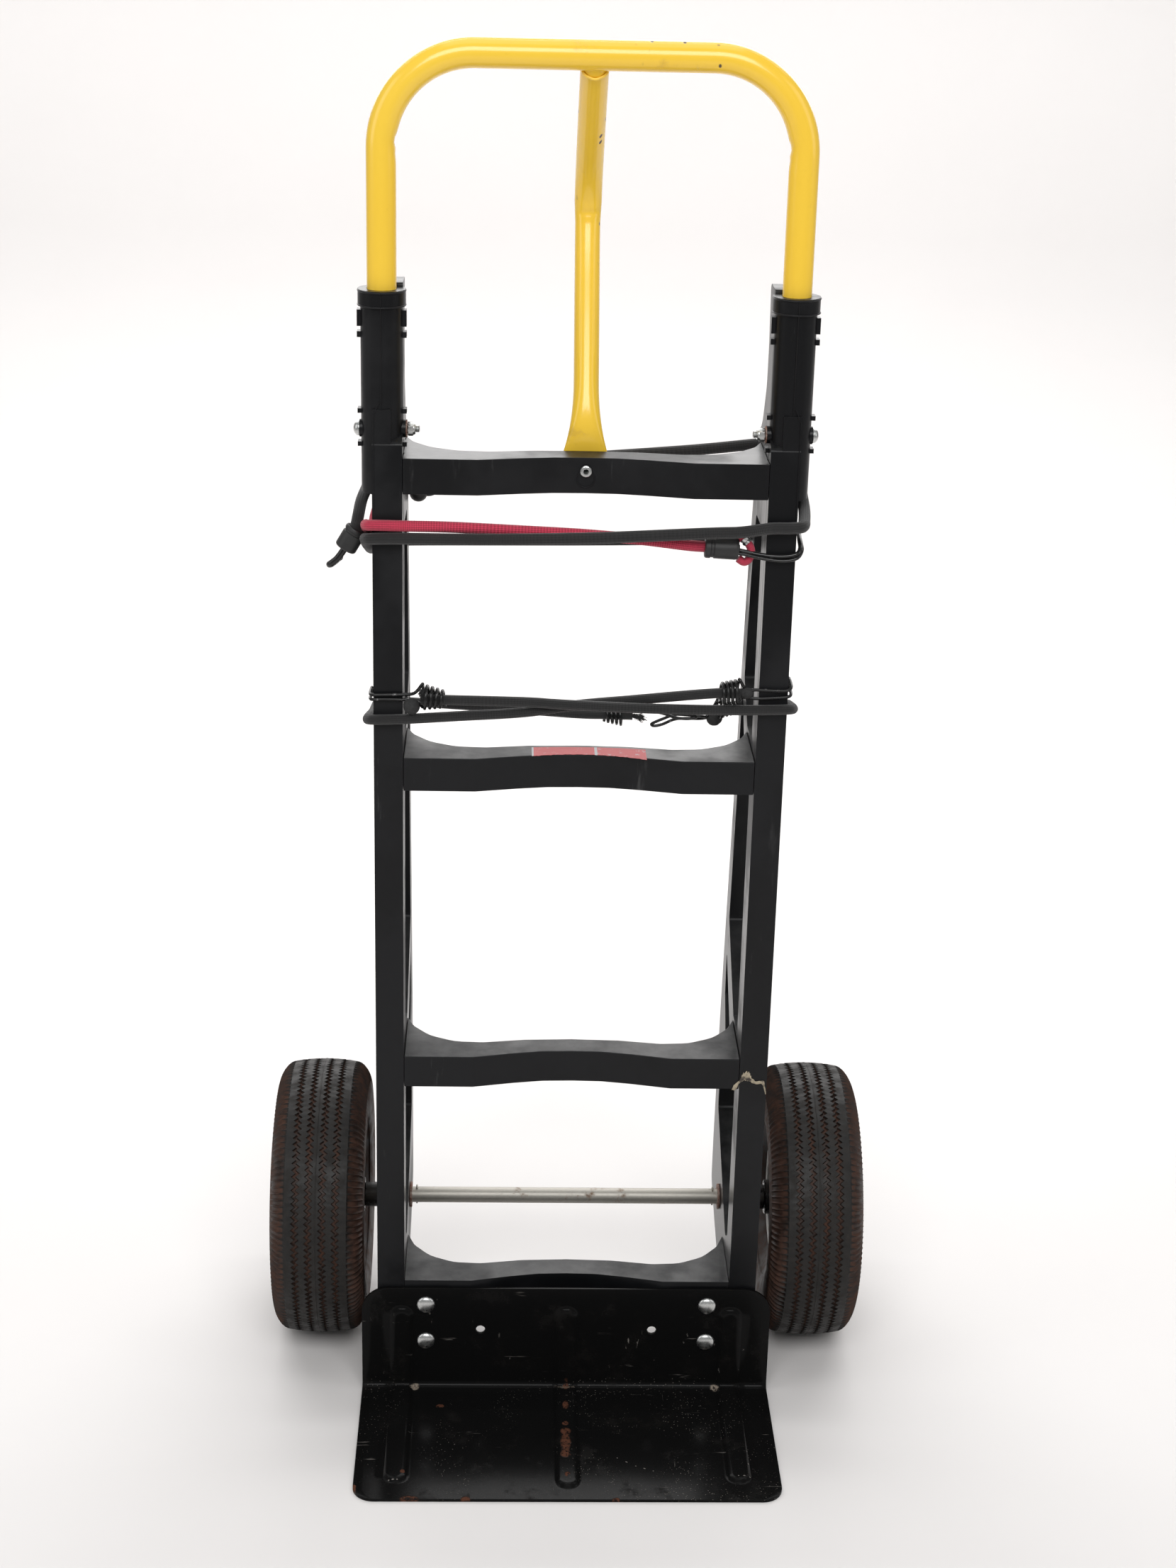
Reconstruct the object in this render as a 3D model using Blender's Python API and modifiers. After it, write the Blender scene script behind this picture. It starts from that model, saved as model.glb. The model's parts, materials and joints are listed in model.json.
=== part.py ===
"""Two-wheel hand truck: nylon ladder frame, steel toe plate, loop handle with a centre grip,
pneumatic wheels on a fixed axle, and four bungee cords stowed round the frame.

Every place below is given in the frame of the rails: x across the truck, y backwards from the
front faces of the rails, z up from the floor. The empty hand_truck moves it all to the origin.
"""

import math

import bmesh
import bpy
from mathutils import Matrix, Vector

# frame, metres
RAIL_INNER_X = 0.1594
RAIL_OUTER_X = 0.1856
RAIL_TOP = 0.955
BAR_TOPS = {"top": 0.942, "upper": 0.6665, "lower": 0.366, "bottom": 0.1215}
BAR_HEIGHT = 0.0318
BAR_BOW = 0.0145
GAP = 0.0003

# handle and sockets
TUBE_RADIUS = 0.0127
HANDLE_Y = 0.020
HANDLE_X = 0.1771
HANDLE_TOP = 1.2793
HANDLE_FOOT = 0.940
HANDLE_BEND = 0.078
SOCKET_RADIUS = 0.0184
SOCKET_COLLAR = 0.0207
SOCKET_FOOT = 0.909
SOCKET_TOP = 1.0845
SOCKET_BORE = 0.0131
HANDLE_BOLT_Z = 0.964
GRIP_RADIUS = 0.0111
GRIP_BOLT_Z = 0.9305

# wheels
TYRE_RADIUS = 0.1383
TYRE_HALF_WIDTH = 0.0465
AXLE_Y = 0.1367
AXLE_RADIUS = 0.00795
AXLE_HALF = 0.2905
WHEEL_X = 0.2468
RIM_SEAT = 0.0510
RIM_LIP = 0.0600
HUB_RADIUS = 0.0175
HUB_BORE = 0.0146
HUB_HALF = 0.0355
BEARING_WIDTH = 0.011

# toe plate
TOE_HALF_WIDTH = 0.2011
TOE_LENGTH = 0.1847
TOE_HEIGHT = 0.115
TOE_SHEET = 0.003
TOE_BEND = 0.008
TOE_RIBS = (-0.162, 0.0, 0.162)
TOE_RIB_HEIGHT = 0.003
TOE_BOLT_X = 0.1382
TOE_BOLT_ZS = (0.0969, 0.0557)

# bungee cords, diameters
RED_CORD = 0.0098
LONG_CORD = 0.0105
SHORT_CORD = 0.0092
HOOK_WIRE = 0.0016

WELD = 0.00002
ROOT_Y = (TOE_LENGTH - AXLE_Y - TYRE_RADIUS) / 2

for old in list(bpy.data.objects):
    bpy.data.objects.remove(old)

PARTS = bpy.data.collections.new("hand_truck")
CUTTERS = bpy.data.collections.new("cutters")
for group in (PARTS, CUTTERS):
    bpy.context.scene.collection.children.link(group)


def empty(name, place, parent=None):
    """An empty at a place in its parent's frame."""
    holder = bpy.data.objects.new(name, None)
    holder.location = place
    holder.parent = parent
    PARTS.objects.link(holder)
    return holder


ROOT = empty("hand_truck", (0, ROOT_Y, 0))


def material(name, colour, roughness, metallic=0.0):
    """A plain Principled material."""
    finish = bpy.data.materials.new(name)
    finish.use_nodes = True
    shader = finish.node_tree.nodes["Principled BSDF"]
    shader.inputs["Base Color"].default_value = (*colour, 1)
    shader.inputs["Roughness"].default_value = roughness
    shader.inputs["Metallic"].default_value = metallic
    finish.diffuse_color = (*colour, 1)
    return finish


NYLON = material("black_nylon", (0.012, 0.012, 0.013), 0.42)
YELLOW = material("yellow_paint", (0.86, 0.50, 0.02), 0.30)
BLACK_STEEL = material("black_paint", (0.010, 0.010, 0.010), 0.35)
ZINC = material("zinc_plate", (0.60, 0.61, 0.60), 0.32, 1.0)
DULL_ZINC = material("dull_zinc", (0.42, 0.40, 0.34), 0.50, 1.0)
TYRE_RUBBER = material("tyre_rubber", (0.030, 0.024, 0.021), 0.75)
TUBE_RUBBER = material("tube_rubber", (0.015, 0.015, 0.015), 0.60)
RIM_PAINT = material("rim_paint", (0.62, 0.62, 0.60), 0.40)
BEARING_STEEL = material("bearing_steel", (0.50, 0.50, 0.50), 0.28, 1.0)
RED_WEAVE = material("red_weave", (0.52, 0.030, 0.070), 0.85)
BLACK_WEAVE = material("black_weave", (0.014, 0.014, 0.014), 0.85)
HOOK_PLASTIC = material("hook_plastic", (0.020, 0.020, 0.022), 0.50)
HOOK_STEEL = material("black_wire", (0.012, 0.012, 0.012), 0.25)


# ---------------------------------------------------------------- shapes

def own(obj, name, finish, parent=ROOT):
    """Name an object, give it its material and parent, and keep it in the truck's collection."""
    obj.name = name
    obj.parent = parent
    for group in list(obj.users_collection):
        group.objects.unlink(obj)
    PARTS.objects.link(obj)
    obj.data.materials.clear()
    obj.data.materials.append(finish)
    if obj.type == "MESH":
        obj.data.shade_smooth()
        obj.data.set_sharp_from_angle(angle=math.radians(35))
    return obj


def as_helper(obj, parent=ROOT):
    """Keep an object as a cutter or an addition that a Boolean reads."""
    for group in list(obj.users_collection):
        group.objects.unlink(obj)
    CUTTERS.objects.link(obj)
    obj.parent = parent
    obj.hide_render = True
    obj.display_type = "WIRE"
    return obj


def boolean(target, helper, operation):
    """Cut, join or intersect the target with a helper."""
    step = target.modifiers.new(operation.lower(), "BOOLEAN")
    step.operation = operation
    step.solver = "EXACT"
    step.object = helper
    return target


def new_object(name, data):
    """A fresh object in the scene."""
    obj = bpy.data.objects.new(name, data)
    bpy.context.scene.collection.objects.link(obj)
    return obj


def as_mesh(obj):
    """The mesh object of a curve, its caps welded."""
    bpy.context.view_layer.update()
    graph = bpy.context.evaluated_depsgraph_get()
    mesh = bpy.data.meshes.new_from_object(obj.evaluated_get(graph))
    shell = bmesh.new()
    shell.from_mesh(mesh)
    bmesh.ops.remove_doubles(shell, verts=shell.verts, dist=WELD)
    bmesh.ops.recalc_face_normals(shell, faces=shell.faces)
    shell.to_mesh(mesh)
    shell.free()
    solid = new_object(obj.name, mesh)
    solid.matrix_world = obj.matrix_world
    bpy.data.objects.remove(obj)
    return solid


def cylinder(radius, length, centre, axis="Z", sides=16):
    """A cylinder along one axis."""
    bpy.ops.mesh.primitive_cylinder_add(vertices=sides, radius=radius, depth=length, location=centre)
    rod = bpy.context.object
    if axis == "X":
        rod.rotation_euler = (0, math.pi / 2, 0)
    if axis == "Y":
        rod.rotation_euler = (math.pi / 2, 0, 0)
    return rod


def box(low, high):
    """A box between two corners."""
    middle = [(a + b) / 2 for a, b in zip(low, high)]
    bpy.ops.mesh.primitive_cube_add(size=1, location=middle)
    block = bpy.context.object
    block.data.transform(Matrix.Diagonal([b - a for a, b in zip(low, high)] + [1]))
    return block


def ball(radius, centre):
    """A small sphere."""
    bpy.ops.mesh.primitive_uv_sphere_add(segments=10, ring_count=6, radius=radius, location=centre)
    return bpy.context.object


def drill(target, radius, length, centre, axis, sides=12):
    """Cut a round hole."""
    return boolean(target, as_helper(cylinder(radius, length, centre, axis, sides)), "DIFFERENCE")


def join(target, piece):
    """Weld a helper shape onto the target."""
    return boolean(target, as_helper(piece), "UNION")


def turned(profile, centre, axis="Z", steps=24):
    """Turn a closed profile of (height, radius) points, its outer side listed from the top down."""
    mesh = bpy.data.meshes.new("profile")
    points = [(radius, 0, height) for height, radius in profile]
    edges = [(i, (i + 1) % len(points)) for i in range(len(points))]
    if profile[0][1] == 0:
        edges.pop()
    mesh.from_pydata(points, edges, [])
    obj = new_object("turned", mesh)
    obj.location = centre
    turns = {"Z": (0, 0, 0), "X": (0, math.pi / 2, 0), "-X": (0, -math.pi / 2, 0)}
    turns["Y"] = (-math.pi / 2, 0, 0)
    turns["-Y"] = (math.pi / 2, 0, 0)
    obj.rotation_euler = turns[axis]
    screw = obj.modifiers.new("turn", "SCREW")
    screw.axis = "Z"
    screw.angle = 2 * math.pi
    screw.steps = steps
    screw.render_steps = steps
    screw.use_merge_vertices = True
    screw.merge_threshold = WELD
    return obj


def wire(name, points, radius, resolution=1):
    """A round rod through a list of points, closed at both ends."""
    curve = bpy.data.curves.new(name, "CURVE")
    curve.dimensions = "3D"
    curve.bevel_depth = radius
    curve.bevel_resolution = resolution
    curve.use_fill_caps = True
    spline = curve.splines.new("POLY")
    spline.points.add(len(points) - 1)
    for knot, point in zip(spline.points, points):
        knot.co = (*point, 1)
    return new_object(name, curve)


def outline_solid(name, loops, thickness, matrix):
    """A flat outline with its holes, thickened equally to both sides of the matrix's plane."""
    curve = bpy.data.curves.new(name, "CURVE")
    curve.dimensions = "2D"
    curve.fill_mode = "BOTH"
    curve.extrude = thickness / 2
    for loop in loops:
        spline = curve.splines.new("POLY")
        spline.points.add(len(loop) - 1)
        for knot, (u, v) in zip(spline.points, loop):
            knot.co = (u, v, 0, 1)
        spline.use_cyclic_u = True
    obj = new_object(name, curve)
    obj.matrix_world = matrix
    return as_mesh(obj)


def rounded(corners, steps=3):
    """An outline of (u, v, radius) corners with each corner turned into an arc."""
    points = []
    for i, (u, v, radius) in enumerate(corners):
        corner = Vector((u, v))
        if radius == 0:
            points.append(tuple(corner))
            continue
        before = Vector(corners[i - 1][:2]) - corner
        after = Vector(corners[(i + 1) % len(corners)][:2]) - corner
        half = before.angle(after) / 2
        reach = min(radius / math.tan(half), before.length * 0.48, after.length * 0.48)
        radius = reach * math.tan(half)
        start = corner + before.normalized() * reach
        end = corner + after.normalized() * reach
        middle = corner + (before.normalized() + after.normalized()).normalized() * radius / math.sin(half)
        sweep = (start - middle).angle_signed(end - middle)
        for k in range(steps + 1):
            spoke = start - middle
            spoke.rotate(Matrix.Rotation(-sweep * k / steps, 2))
            points.append(tuple(middle + spoke))
    return points


def circle(u, v, radius, sides=16):
    """A round loop for an outline."""
    return [
        (u + radius * math.cos(2 * math.pi * k / sides), v + radius * math.sin(2 * math.pi * k / sides))
        for k in range(sides)
    ]


def smooth_route(knots, spacing, turn=18):
    """Points on the smooth curve through a cord's knots: one every spacing, closer where it bends."""
    knots = [Vector(knot) for knot in knots]
    padded = [2 * knots[0] - knots[1], *knots, 2 * knots[-1] - knots[-2]]
    fine = []
    for a, b, c, d in zip(padded, padded[1:], padded[2:], padded[3:]):
        for k in range(24):
            t = k / 24
            near = 2 * b + (c - a) * t
            bend = (2 * a - 5 * b + 4 * c - d) * t * t + (3 * b - a - 3 * c + d) * t ** 3
            fine.append((near + bend) / 2)
    fine.append(knots[-1])
    points = [fine[0]]
    travelled = 0.0
    turned_by = 0.0
    for before, here, after in zip(fine, fine[1:], fine[2:]):
        travelled += (here - before).length
        turned_by += math.degrees((here - before).angle(after - here))
        if travelled > spacing or turned_by > turn:
            points.append(here)
            travelled = 0.0
            turned_by = 0.0
    if travelled < spacing / 4 and len(points) > 2:
        points.pop()
    points.append(fine[-1])
    return points


def loft(name, rings):
    """A closed skin over a row of rings that have the same number of points."""
    shell = bmesh.new()
    rows = [[shell.verts.new(point) for point in ring] for ring in rings]
    count = len(rows[0])
    for low, high in zip(rows, rows[1:]):
        for k in range(count):
            shell.faces.new((low[k], low[(k + 1) % count], high[(k + 1) % count], high[k]))
    shell.faces.new(rows[0])
    shell.faces.new(rows[-1])
    bmesh.ops.recalc_face_normals(shell, faces=shell.faces)
    mesh = bpy.data.meshes.new(name)
    shell.to_mesh(mesh)
    shell.free()
    return new_object(name, mesh)


SIDE_PLANE = Matrix(((0, 0, 1, 0), (1, 0, 0, 0), (0, 1, 0, 0), (0, 0, 0, 1)))


# ---------------------------------------------------------------- frame

PLATE_OUTLINE = (
    (0.000, 0.030, 0.003), (0.000, RAIL_TOP, 0.004), (0.022, RAIL_TOP + 0.010, 0),
    (0.027, 1.070, 0), (0.030, 1.088, 0.002), (0.067, 1.088, 0.006),
    (0.060, 1.035, 0.050), (0.062, 0.998, 0.030), (0.083, 0.962, 0.030), (0.128, 0.931, 0.006),
    (0.133, 0.877, 0), (0.143, 0.838, 0), (0.154, 0.780, 0), (0.168, 0.688, 0), (0.183, 0.562, 0),
    (0.203, 0.425, 0), (0.217, 0.310, 0), (0.228, 0.160, 0.010), (0.229, 0.108, 0.014),
    (0.177, 0.087, 0.010), (0.140, 0.076, 0.010), (0.060, 0.030, 0.010),
)
PLATE_WINDOWS = (
    ((0.042, 0.873, 0.010), (0.098, 0.873, 0.008), (0.117, 0.808, 0), (0.134, 0.704, 0.006),
     (0.086, 0.671, 0.004), (0.042, 0.671, 0.004)),
    ((0.147, 0.694, 0.003), (0.157, 0.600, 0.005), (0.140, 0.588, 0.005), (0.100, 0.636, 0.005)),
    ((0.041, 0.626, 0.006), (0.066, 0.626, 0.006), (0.151, 0.584, 0.006), (0.167, 0.461, 0),
     (0.171, 0.437, 0.006), (0.084, 0.371, 0.004), (0.041, 0.371, 0.004)),
    ((0.179, 0.398, 0.003), (0.177, 0.352, 0.006), (0.142, 0.298, 0.006), (0.100, 0.330, 0.006)),
    ((0.040, 0.325, 0.006), (0.064, 0.325, 0.006), (0.188, 0.268, 0.006), (0.192, 0.214, 0.008),
     (0.060, 0.138, 0.008), (0.040, 0.150, 0.006)),
)


def side_frame(side, sign):
    """One deep side plate with its truss windows and the socket that holds the handle."""
    middle = sign * (RAIL_INNER_X + RAIL_OUTER_X) / 2
    loops = [rounded(PLATE_OUTLINE)]
    loops += [rounded(window) for window in PLATE_WINDOWS]
    loops.append(circle(AXLE_Y, TYRE_RADIUS, AXLE_RADIUS + GAP))
    plane = Matrix.Translation((middle, 0, 0)) @ SIDE_PLANE
    plate = outline_solid("plate", loops, RAIL_OUTER_X - RAIL_INNER_X, plane)
    own(plate, "side_frame_" + side, NYLON)
    socket_x = sign * HANDLE_X
    height = SOCKET_TOP - SOCKET_FOOT
    join(plate, cylinder(SOCKET_RADIUS, height, (socket_x, HANDLE_Y, SOCKET_FOOT + height / 2), sides=24))
    join(plate, cylinder(SOCKET_COLLAR, 0.014, (socket_x, HANDLE_Y, SOCKET_TOP - 0.0069), sides=24))
    web_edges = sorted((sign * 0.169, sign * 0.1854))
    join(plate, box((web_edges[0], 0.0004, 0.930), (web_edges[1], 0.020, 0.984)))
    for lug_z, lug_height in ((1.060, 0.014), (1.046, 0.005), (0.980, 0.004), (0.951, 0.004)):
        low = (socket_x - 0.0212, HANDLE_Y - 0.005, lug_z - lug_height / 2)
        high = (socket_x + 0.0212, HANDLE_Y + 0.005, lug_z + lug_height / 2)
        join(plate, box(low, high))
    join(plate, cylinder(0.0078, 0.0412, (sign * 0.1762, HANDLE_Y, HANDLE_BOLT_Z), "X", 16))
    bore_foot = HANDLE_FOOT - 0.001
    bore_length = 1.10 - bore_foot
    drill(plate, SOCKET_BORE, bore_length, (socket_x, HANDLE_Y, bore_foot + bore_length / 2), "Z", 24)
    drill(plate, 0.0036, 0.080, (socket_x, HANDLE_Y, HANDLE_BOLT_Z), "X", 10)
    return plate


def crossbar(level):
    """One rung: straight ends, a shallow bow in the middle and flared rear corners."""
    top = BAR_TOPS[level]
    half = RAIL_INNER_X - GAP
    front = [(half, 0, 0), (0.094, 0, 0.010), (0.055, 0.0088, 0.030), (0.028, 0.0135, 0.040)]
    rear = [(0.0, 0.0405, 0), (0.045, 0.0385, 0.030), (0.085, 0.0322, 0.030), (0.112, 0.034, 0.030)]
    rear += [(0.136, 0.046, 0.030), (0.152, 0.066, 0.020), (half, 0.086, 0)]
    left_front = [(-x, y, r) for x, y, r in reversed(front)]
    left_rear = [(-x, y, r) for x, y, r in reversed(rear[1:])]
    loop = rounded(front + [(0, BAR_BOW, 0)] + left_front + left_rear + rear, steps=2)
    place = Matrix.Translation((0, 0, top - BAR_HEIGHT / 2))
    bar = outline_solid("bar", [loop], BAR_HEIGHT, place)
    own(bar, "crossbar_" + level, NYLON)
    if level == "top":
        drill(bar, 0.0036, 0.080, (0, 0.025, GRIP_BOLT_Z), "Y", 10)
        for sign in (-1, 1):
            drill(bar, SOCKET_RADIUS + GAP, 0.080, (sign * HANDLE_X, HANDLE_Y, top), "Z", 24)
    if level == "bottom":
        for sign in (-1, 1):
            edges = sorted((sign * 0.116, sign * half))
            join(bar, box((edges[0], 0, 0.040), (edges[1], 0.0275, top - 0.004)))
            for bolt_z in TOE_BOLT_ZS:
                drill(bar, 0.0043, 0.080, (sign * TOE_BOLT_X, 0.020, bolt_z), "Y", 10)
            drill(bar, 0.0084, 0.080, (sign * TOE_BOLT_X, 0.0677, TOE_BOLT_ZS[0]), "Y", 12)
    return bar


# ---------------------------------------------------------------- handle

def handle_loop():
    """The bent tube: two legs in the sockets and a straight top."""
    bend_x = HANDLE_X - HANDLE_BEND
    bend_z = HANDLE_TOP - HANDLE_BEND
    points = [(HANDLE_X, HANDLE_Y, HANDLE_FOOT), (HANDLE_X, HANDLE_Y, 1.12)]
    for sign, first in ((1, 0.0), (-1, math.pi / 2)):
        for k in range(9):
            angle = first + math.pi / 2 * k / 8
            x = sign * bend_x + HANDLE_BEND * math.cos(angle)
            points.append((x, HANDLE_Y, bend_z + HANDLE_BEND * math.sin(angle)))
    points += [(-HANDLE_X, HANDLE_Y, 1.12), (-HANDLE_X, HANDLE_Y, HANDLE_FOOT)]
    tube = own(as_mesh(wire("tube", points, TUBE_RADIUS, 4)), "handle_loop", YELLOW)
    for sign in (-1, 1):
        drill(tube, 0.0035, 0.050, (sign * HANDLE_X, HANDLE_Y, HANDLE_BOLT_Z), "X", 10)
    return tube


GRIP_ROUTE = (
    (0.0445, 0.906), (0.0445, 0.930), (0.0450, 0.950), (0.0500, 0.970), (0.0630, 0.998),
    (0.0850, 1.040), (0.1130, 1.092), (0.1245, 1.117), (0.1290, 1.137), (0.1255, 1.156),
    (0.1120, 1.180), (0.0850, 1.212), (0.0500, 1.250), (0.0250, 1.276),
)


def grip_section(height):
    """Half width and half thickness of the grip, which is pressed flat where it is bolted."""
    flat = max(0.0, min(1.0, (0.998 - height) / 0.050))
    blend = flat * flat * (3 - 2 * flat)
    return GRIP_RADIUS + (0.0196 - GRIP_RADIUS) * blend, GRIP_RADIUS + (0.0035 - GRIP_RADIUS) * blend


def centre_grip():
    """The brace from the top rung to the loop: flat foot, kicked back, then forward to the loop."""
    path = smooth_route([(0, y, z) for y, z in GRIP_ROUTE], 0.0135)
    rings = []
    for i, point in enumerate(path):
        ahead = path[min(i + 1, len(path) - 1)] - path[max(i - 1, 0)]
        ahead.normalize()
        across = Vector((1, 0, 0))
        out = ahead.cross(across)
        wide, thick = grip_section(point.z)
        turns = [2 * math.pi * k / 12 for k in range(12)]
        rings.append([point + across * wide * math.cos(a) + out * thick * math.sin(a) for a in turns])
    grip = own(loft("grip", rings), "centre_grip", YELLOW)
    drill(grip, TUBE_RADIUS + GAP, 0.2, (0, HANDLE_Y, HANDLE_TOP), "X", 24)
    drill(grip, 0.0036, 0.060, (0, 0.0445, GRIP_BOLT_Z), "Y", 10)
    return grip


# ---------------------------------------------------------------- fasteners

def bolt(name, start, direction, shank, length, head, crown, parent=ROOT):
    """A domed bolt: the underside of its head at start, its shank running along direction."""
    profile = [(crown, 0), (crown * 0.92, head * 0.45), (crown * 0.55, head * 0.85), (0, head)]
    profile += [(0, shank), (-length, shank), (-length, 0)]
    opposite = {"X": "-X", "-X": "X", "Y": "-Y", "-Y": "Y"}
    return own(turned(profile, start, opposite[direction], 12), name, ZINC, parent)


def nut(name, centre, axis, bore, flats, height, parent=ROOT):
    """A hexagon nut with an open bore."""
    hexagon = circle(0, 0, flats / math.sqrt(3), 6)
    turn = {"X": Matrix.Rotation(math.pi / 2, 4, "Y"), "Y": Matrix.Rotation(math.pi / 2, 4, "X")}
    place = Matrix.Translation(centre) @ turn[axis]
    ring = outline_solid("nut", [hexagon, circle(0, 0, bore, 10)], height, place)
    return own(ring, name, ZINC, parent)


def fasteners():
    """Handle bolts, the grip bolt and the toe plate's carriage bolts, each with its nut."""
    for side, sign in (("left", -1), ("right", 1)):
        inward = "X" if sign < 0 else "-X"
        start = (sign * 0.1972, HANDLE_Y, HANDLE_BOLT_Z)
        bolt("handle_bolt_" + side, start, inward, 0.0031, 0.0525, 0.0068, 0.0050)
        nut("handle_nut_" + side, (sign * 0.1520, HANDLE_Y, HANDLE_BOLT_Z), "X", 0.0034, 0.0111, 0.0062)
        for level, bolt_z in zip(("upper", "lower"), TOE_BOLT_ZS):
            name = side + "_" + level
            start = (sign * TOE_BOLT_X, -TOE_SHEET - 2 * GAP, bolt_z)
            bolt("toe_bolt_" + name, start, "Y", 0.0039, 0.0405, 0.0090, 0.0042)
            nut("toe_nut_" + name, (sign * TOE_BOLT_X, 0.0312, bolt_z), "Y", 0.0042, 0.0127, 0.0068)
    bolt("grip_bolt", (0, BAR_BOW - GAP, GRIP_BOLT_Z), "Y", 0.0031, 0.0410, 0.0052, 0.0032)
    nut("grip_nut", (0, 0.0510, GRIP_BOLT_Z), "Y", 0.0034, 0.0111, 0.0054)


# ---------------------------------------------------------------- toe plate

def toe_half_width(reach, length):
    """Half the plate's width at a distance along the sheet from the flange's top edge."""
    for distance, radius in ((reach, 0.026), (length - reach, 0.020)):
        if distance < radius:
            inset = radius - math.sqrt(radius ** 2 - (radius - distance) ** 2)
            return TOE_HALF_WIDTH - inset
    return TOE_HALF_WIDTH


def toe_path():
    """Middle line of the sheet, flange top to front edge, as (y, z, outward y, outward z, reach)."""
    back = -TOE_SHEET / 2 - GAP
    low = TOE_SHEET / 2
    flange = TOE_HEIGHT - low - TOE_BEND
    floor = TOE_LENGTH + back - TOE_BEND
    path = [(back, TOE_HEIGHT - s, -1, 0, s) for s in (0, 0.003, 0.009, 0.016, 0.024, 0.030, 0.060, flange)]
    arc = math.pi / 2 * TOE_BEND
    for k in (1, 2, 3):
        a = math.pi / 2 * k / 4
        y = back - TOE_BEND * (1 - math.cos(a))
        z = low + TOE_BEND * (1 - math.sin(a))
        path.append((y, z, -math.cos(a), math.sin(a), flange + arc * k / 4))
    start = back - TOE_BEND
    for s in (0, 0.080, floor - 0.036, floor - 0.028, floor - 0.020, floor - 0.006, floor - 0.002, floor):
        path.append((start - s, low, 0, 1, flange + arc + s))
    return path


def toe_plate():
    """Bent sheet with rounded corners and three pressed ribs that run over the bend."""
    path = toe_path()
    length = path[-1][4]
    stations = []
    for rib in TOE_RIBS:
        stations += [rib - 0.0125, rib - 0.0065, rib + 0.0065, rib + 0.0125]
    shell = bmesh.new()
    rows = []
    for y, z, out_y, out_z, reach in path:
        half = toe_half_width(reach, length)
        row = [shell.verts.new((-half, y, z))]
        for i, x in enumerate(stations):
            stop = length - (0.027 if i // 4 == 1 else 0.035)
            lift = TOE_RIB_HEIGHT if i % 4 in (1, 2) and 0.025 < reach < stop else 0
            row.append(shell.verts.new((x, y + out_y * lift, z + out_z * lift)))
        row.append(shell.verts.new((half, y, z)))
        rows.append(row)
    for upper, lower in zip(rows, rows[1:]):
        for k in range(len(upper) - 1):
            shell.faces.new((upper[k], lower[k], lower[k + 1], upper[k + 1]))
    mesh = bpy.data.meshes.new("toe_plate")
    shell.to_mesh(mesh)
    shell.free()
    plate = own(new_object("toe", mesh), "toe_plate", BLACK_STEEL)
    sheet = plate.modifiers.new("sheet", "SOLIDIFY")
    sheet.thickness = TOE_SHEET
    sheet.offset = 0
    for sign in (-1, 1):
        drill(plate, 0.0045, 0.040, (sign * 0.0845, 0, 0.0683), "Y", 12)
        for bolt_z in TOE_BOLT_ZS:
            drill(plate, 0.0043, 0.040, (sign * TOE_BOLT_X, 0, bolt_z), "Y", 10)
    return plate


# ---------------------------------------------------------------- wheels

def ring_profile(low, high, inner, outer):
    """A square ring for turning, its outer side first."""
    return [(high, outer), (low, outer), (low, inner), (high, inner)]


def tyre_profile():
    """Crown, shoulder, sidewall and bead on the outer side, then the inside of the casing."""
    wide = TYRE_HALF_WIDTH
    outer = [(0.0375, 0.1325), (0.0430, 0.1215), (wide, 0.1040), (0.0435, 0.0840), (0.0350, 0.0675)]
    outer += [(0.0302, 0.0600), (0.0302, RIM_SEAT + GAP)]
    inner = [(0.0215, RIM_SEAT + GAP), (0.0225, 0.0600), (0.0330, 0.0740), (0.0385, 0.0900)]
    inner += [(0.0385, 0.1060), (0.0330, 0.1210), (0.0200, 0.1290)]
    crown = [(0.0200, 0.1378), (0.0, TYRE_RADIUS), (-0.0200, 0.1378)]
    top_down = [(x, r) for x, r in reversed(outer)] + crown + [(-x, r) for x, r in outer]
    return top_down + [(-x, r) for x, r in inner] + [(x, r) for x, r in reversed(inner)]


def rim_profile():
    """Welded rim: lips, bead seats and the disc that thickens towards the hub."""
    outboard = [(0.0330, RIM_LIP), (0.0305, RIM_LIP), (0.0305, RIM_SEAT)]
    under = [(0.0330, RIM_SEAT - 0.0010), (0.0300, RIM_SEAT - 0.0050), (0.0030, RIM_SEAT - 0.0060)]
    under += [(0.0030, HUB_RADIUS + 0.0080), (0.0080, HUB_RADIUS + GAP)]
    inboard = [(-x, r) for x, r in reversed(outboard)] + [(-x, r) for x, r in under]
    return outboard + inboard + list(reversed(under))


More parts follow.
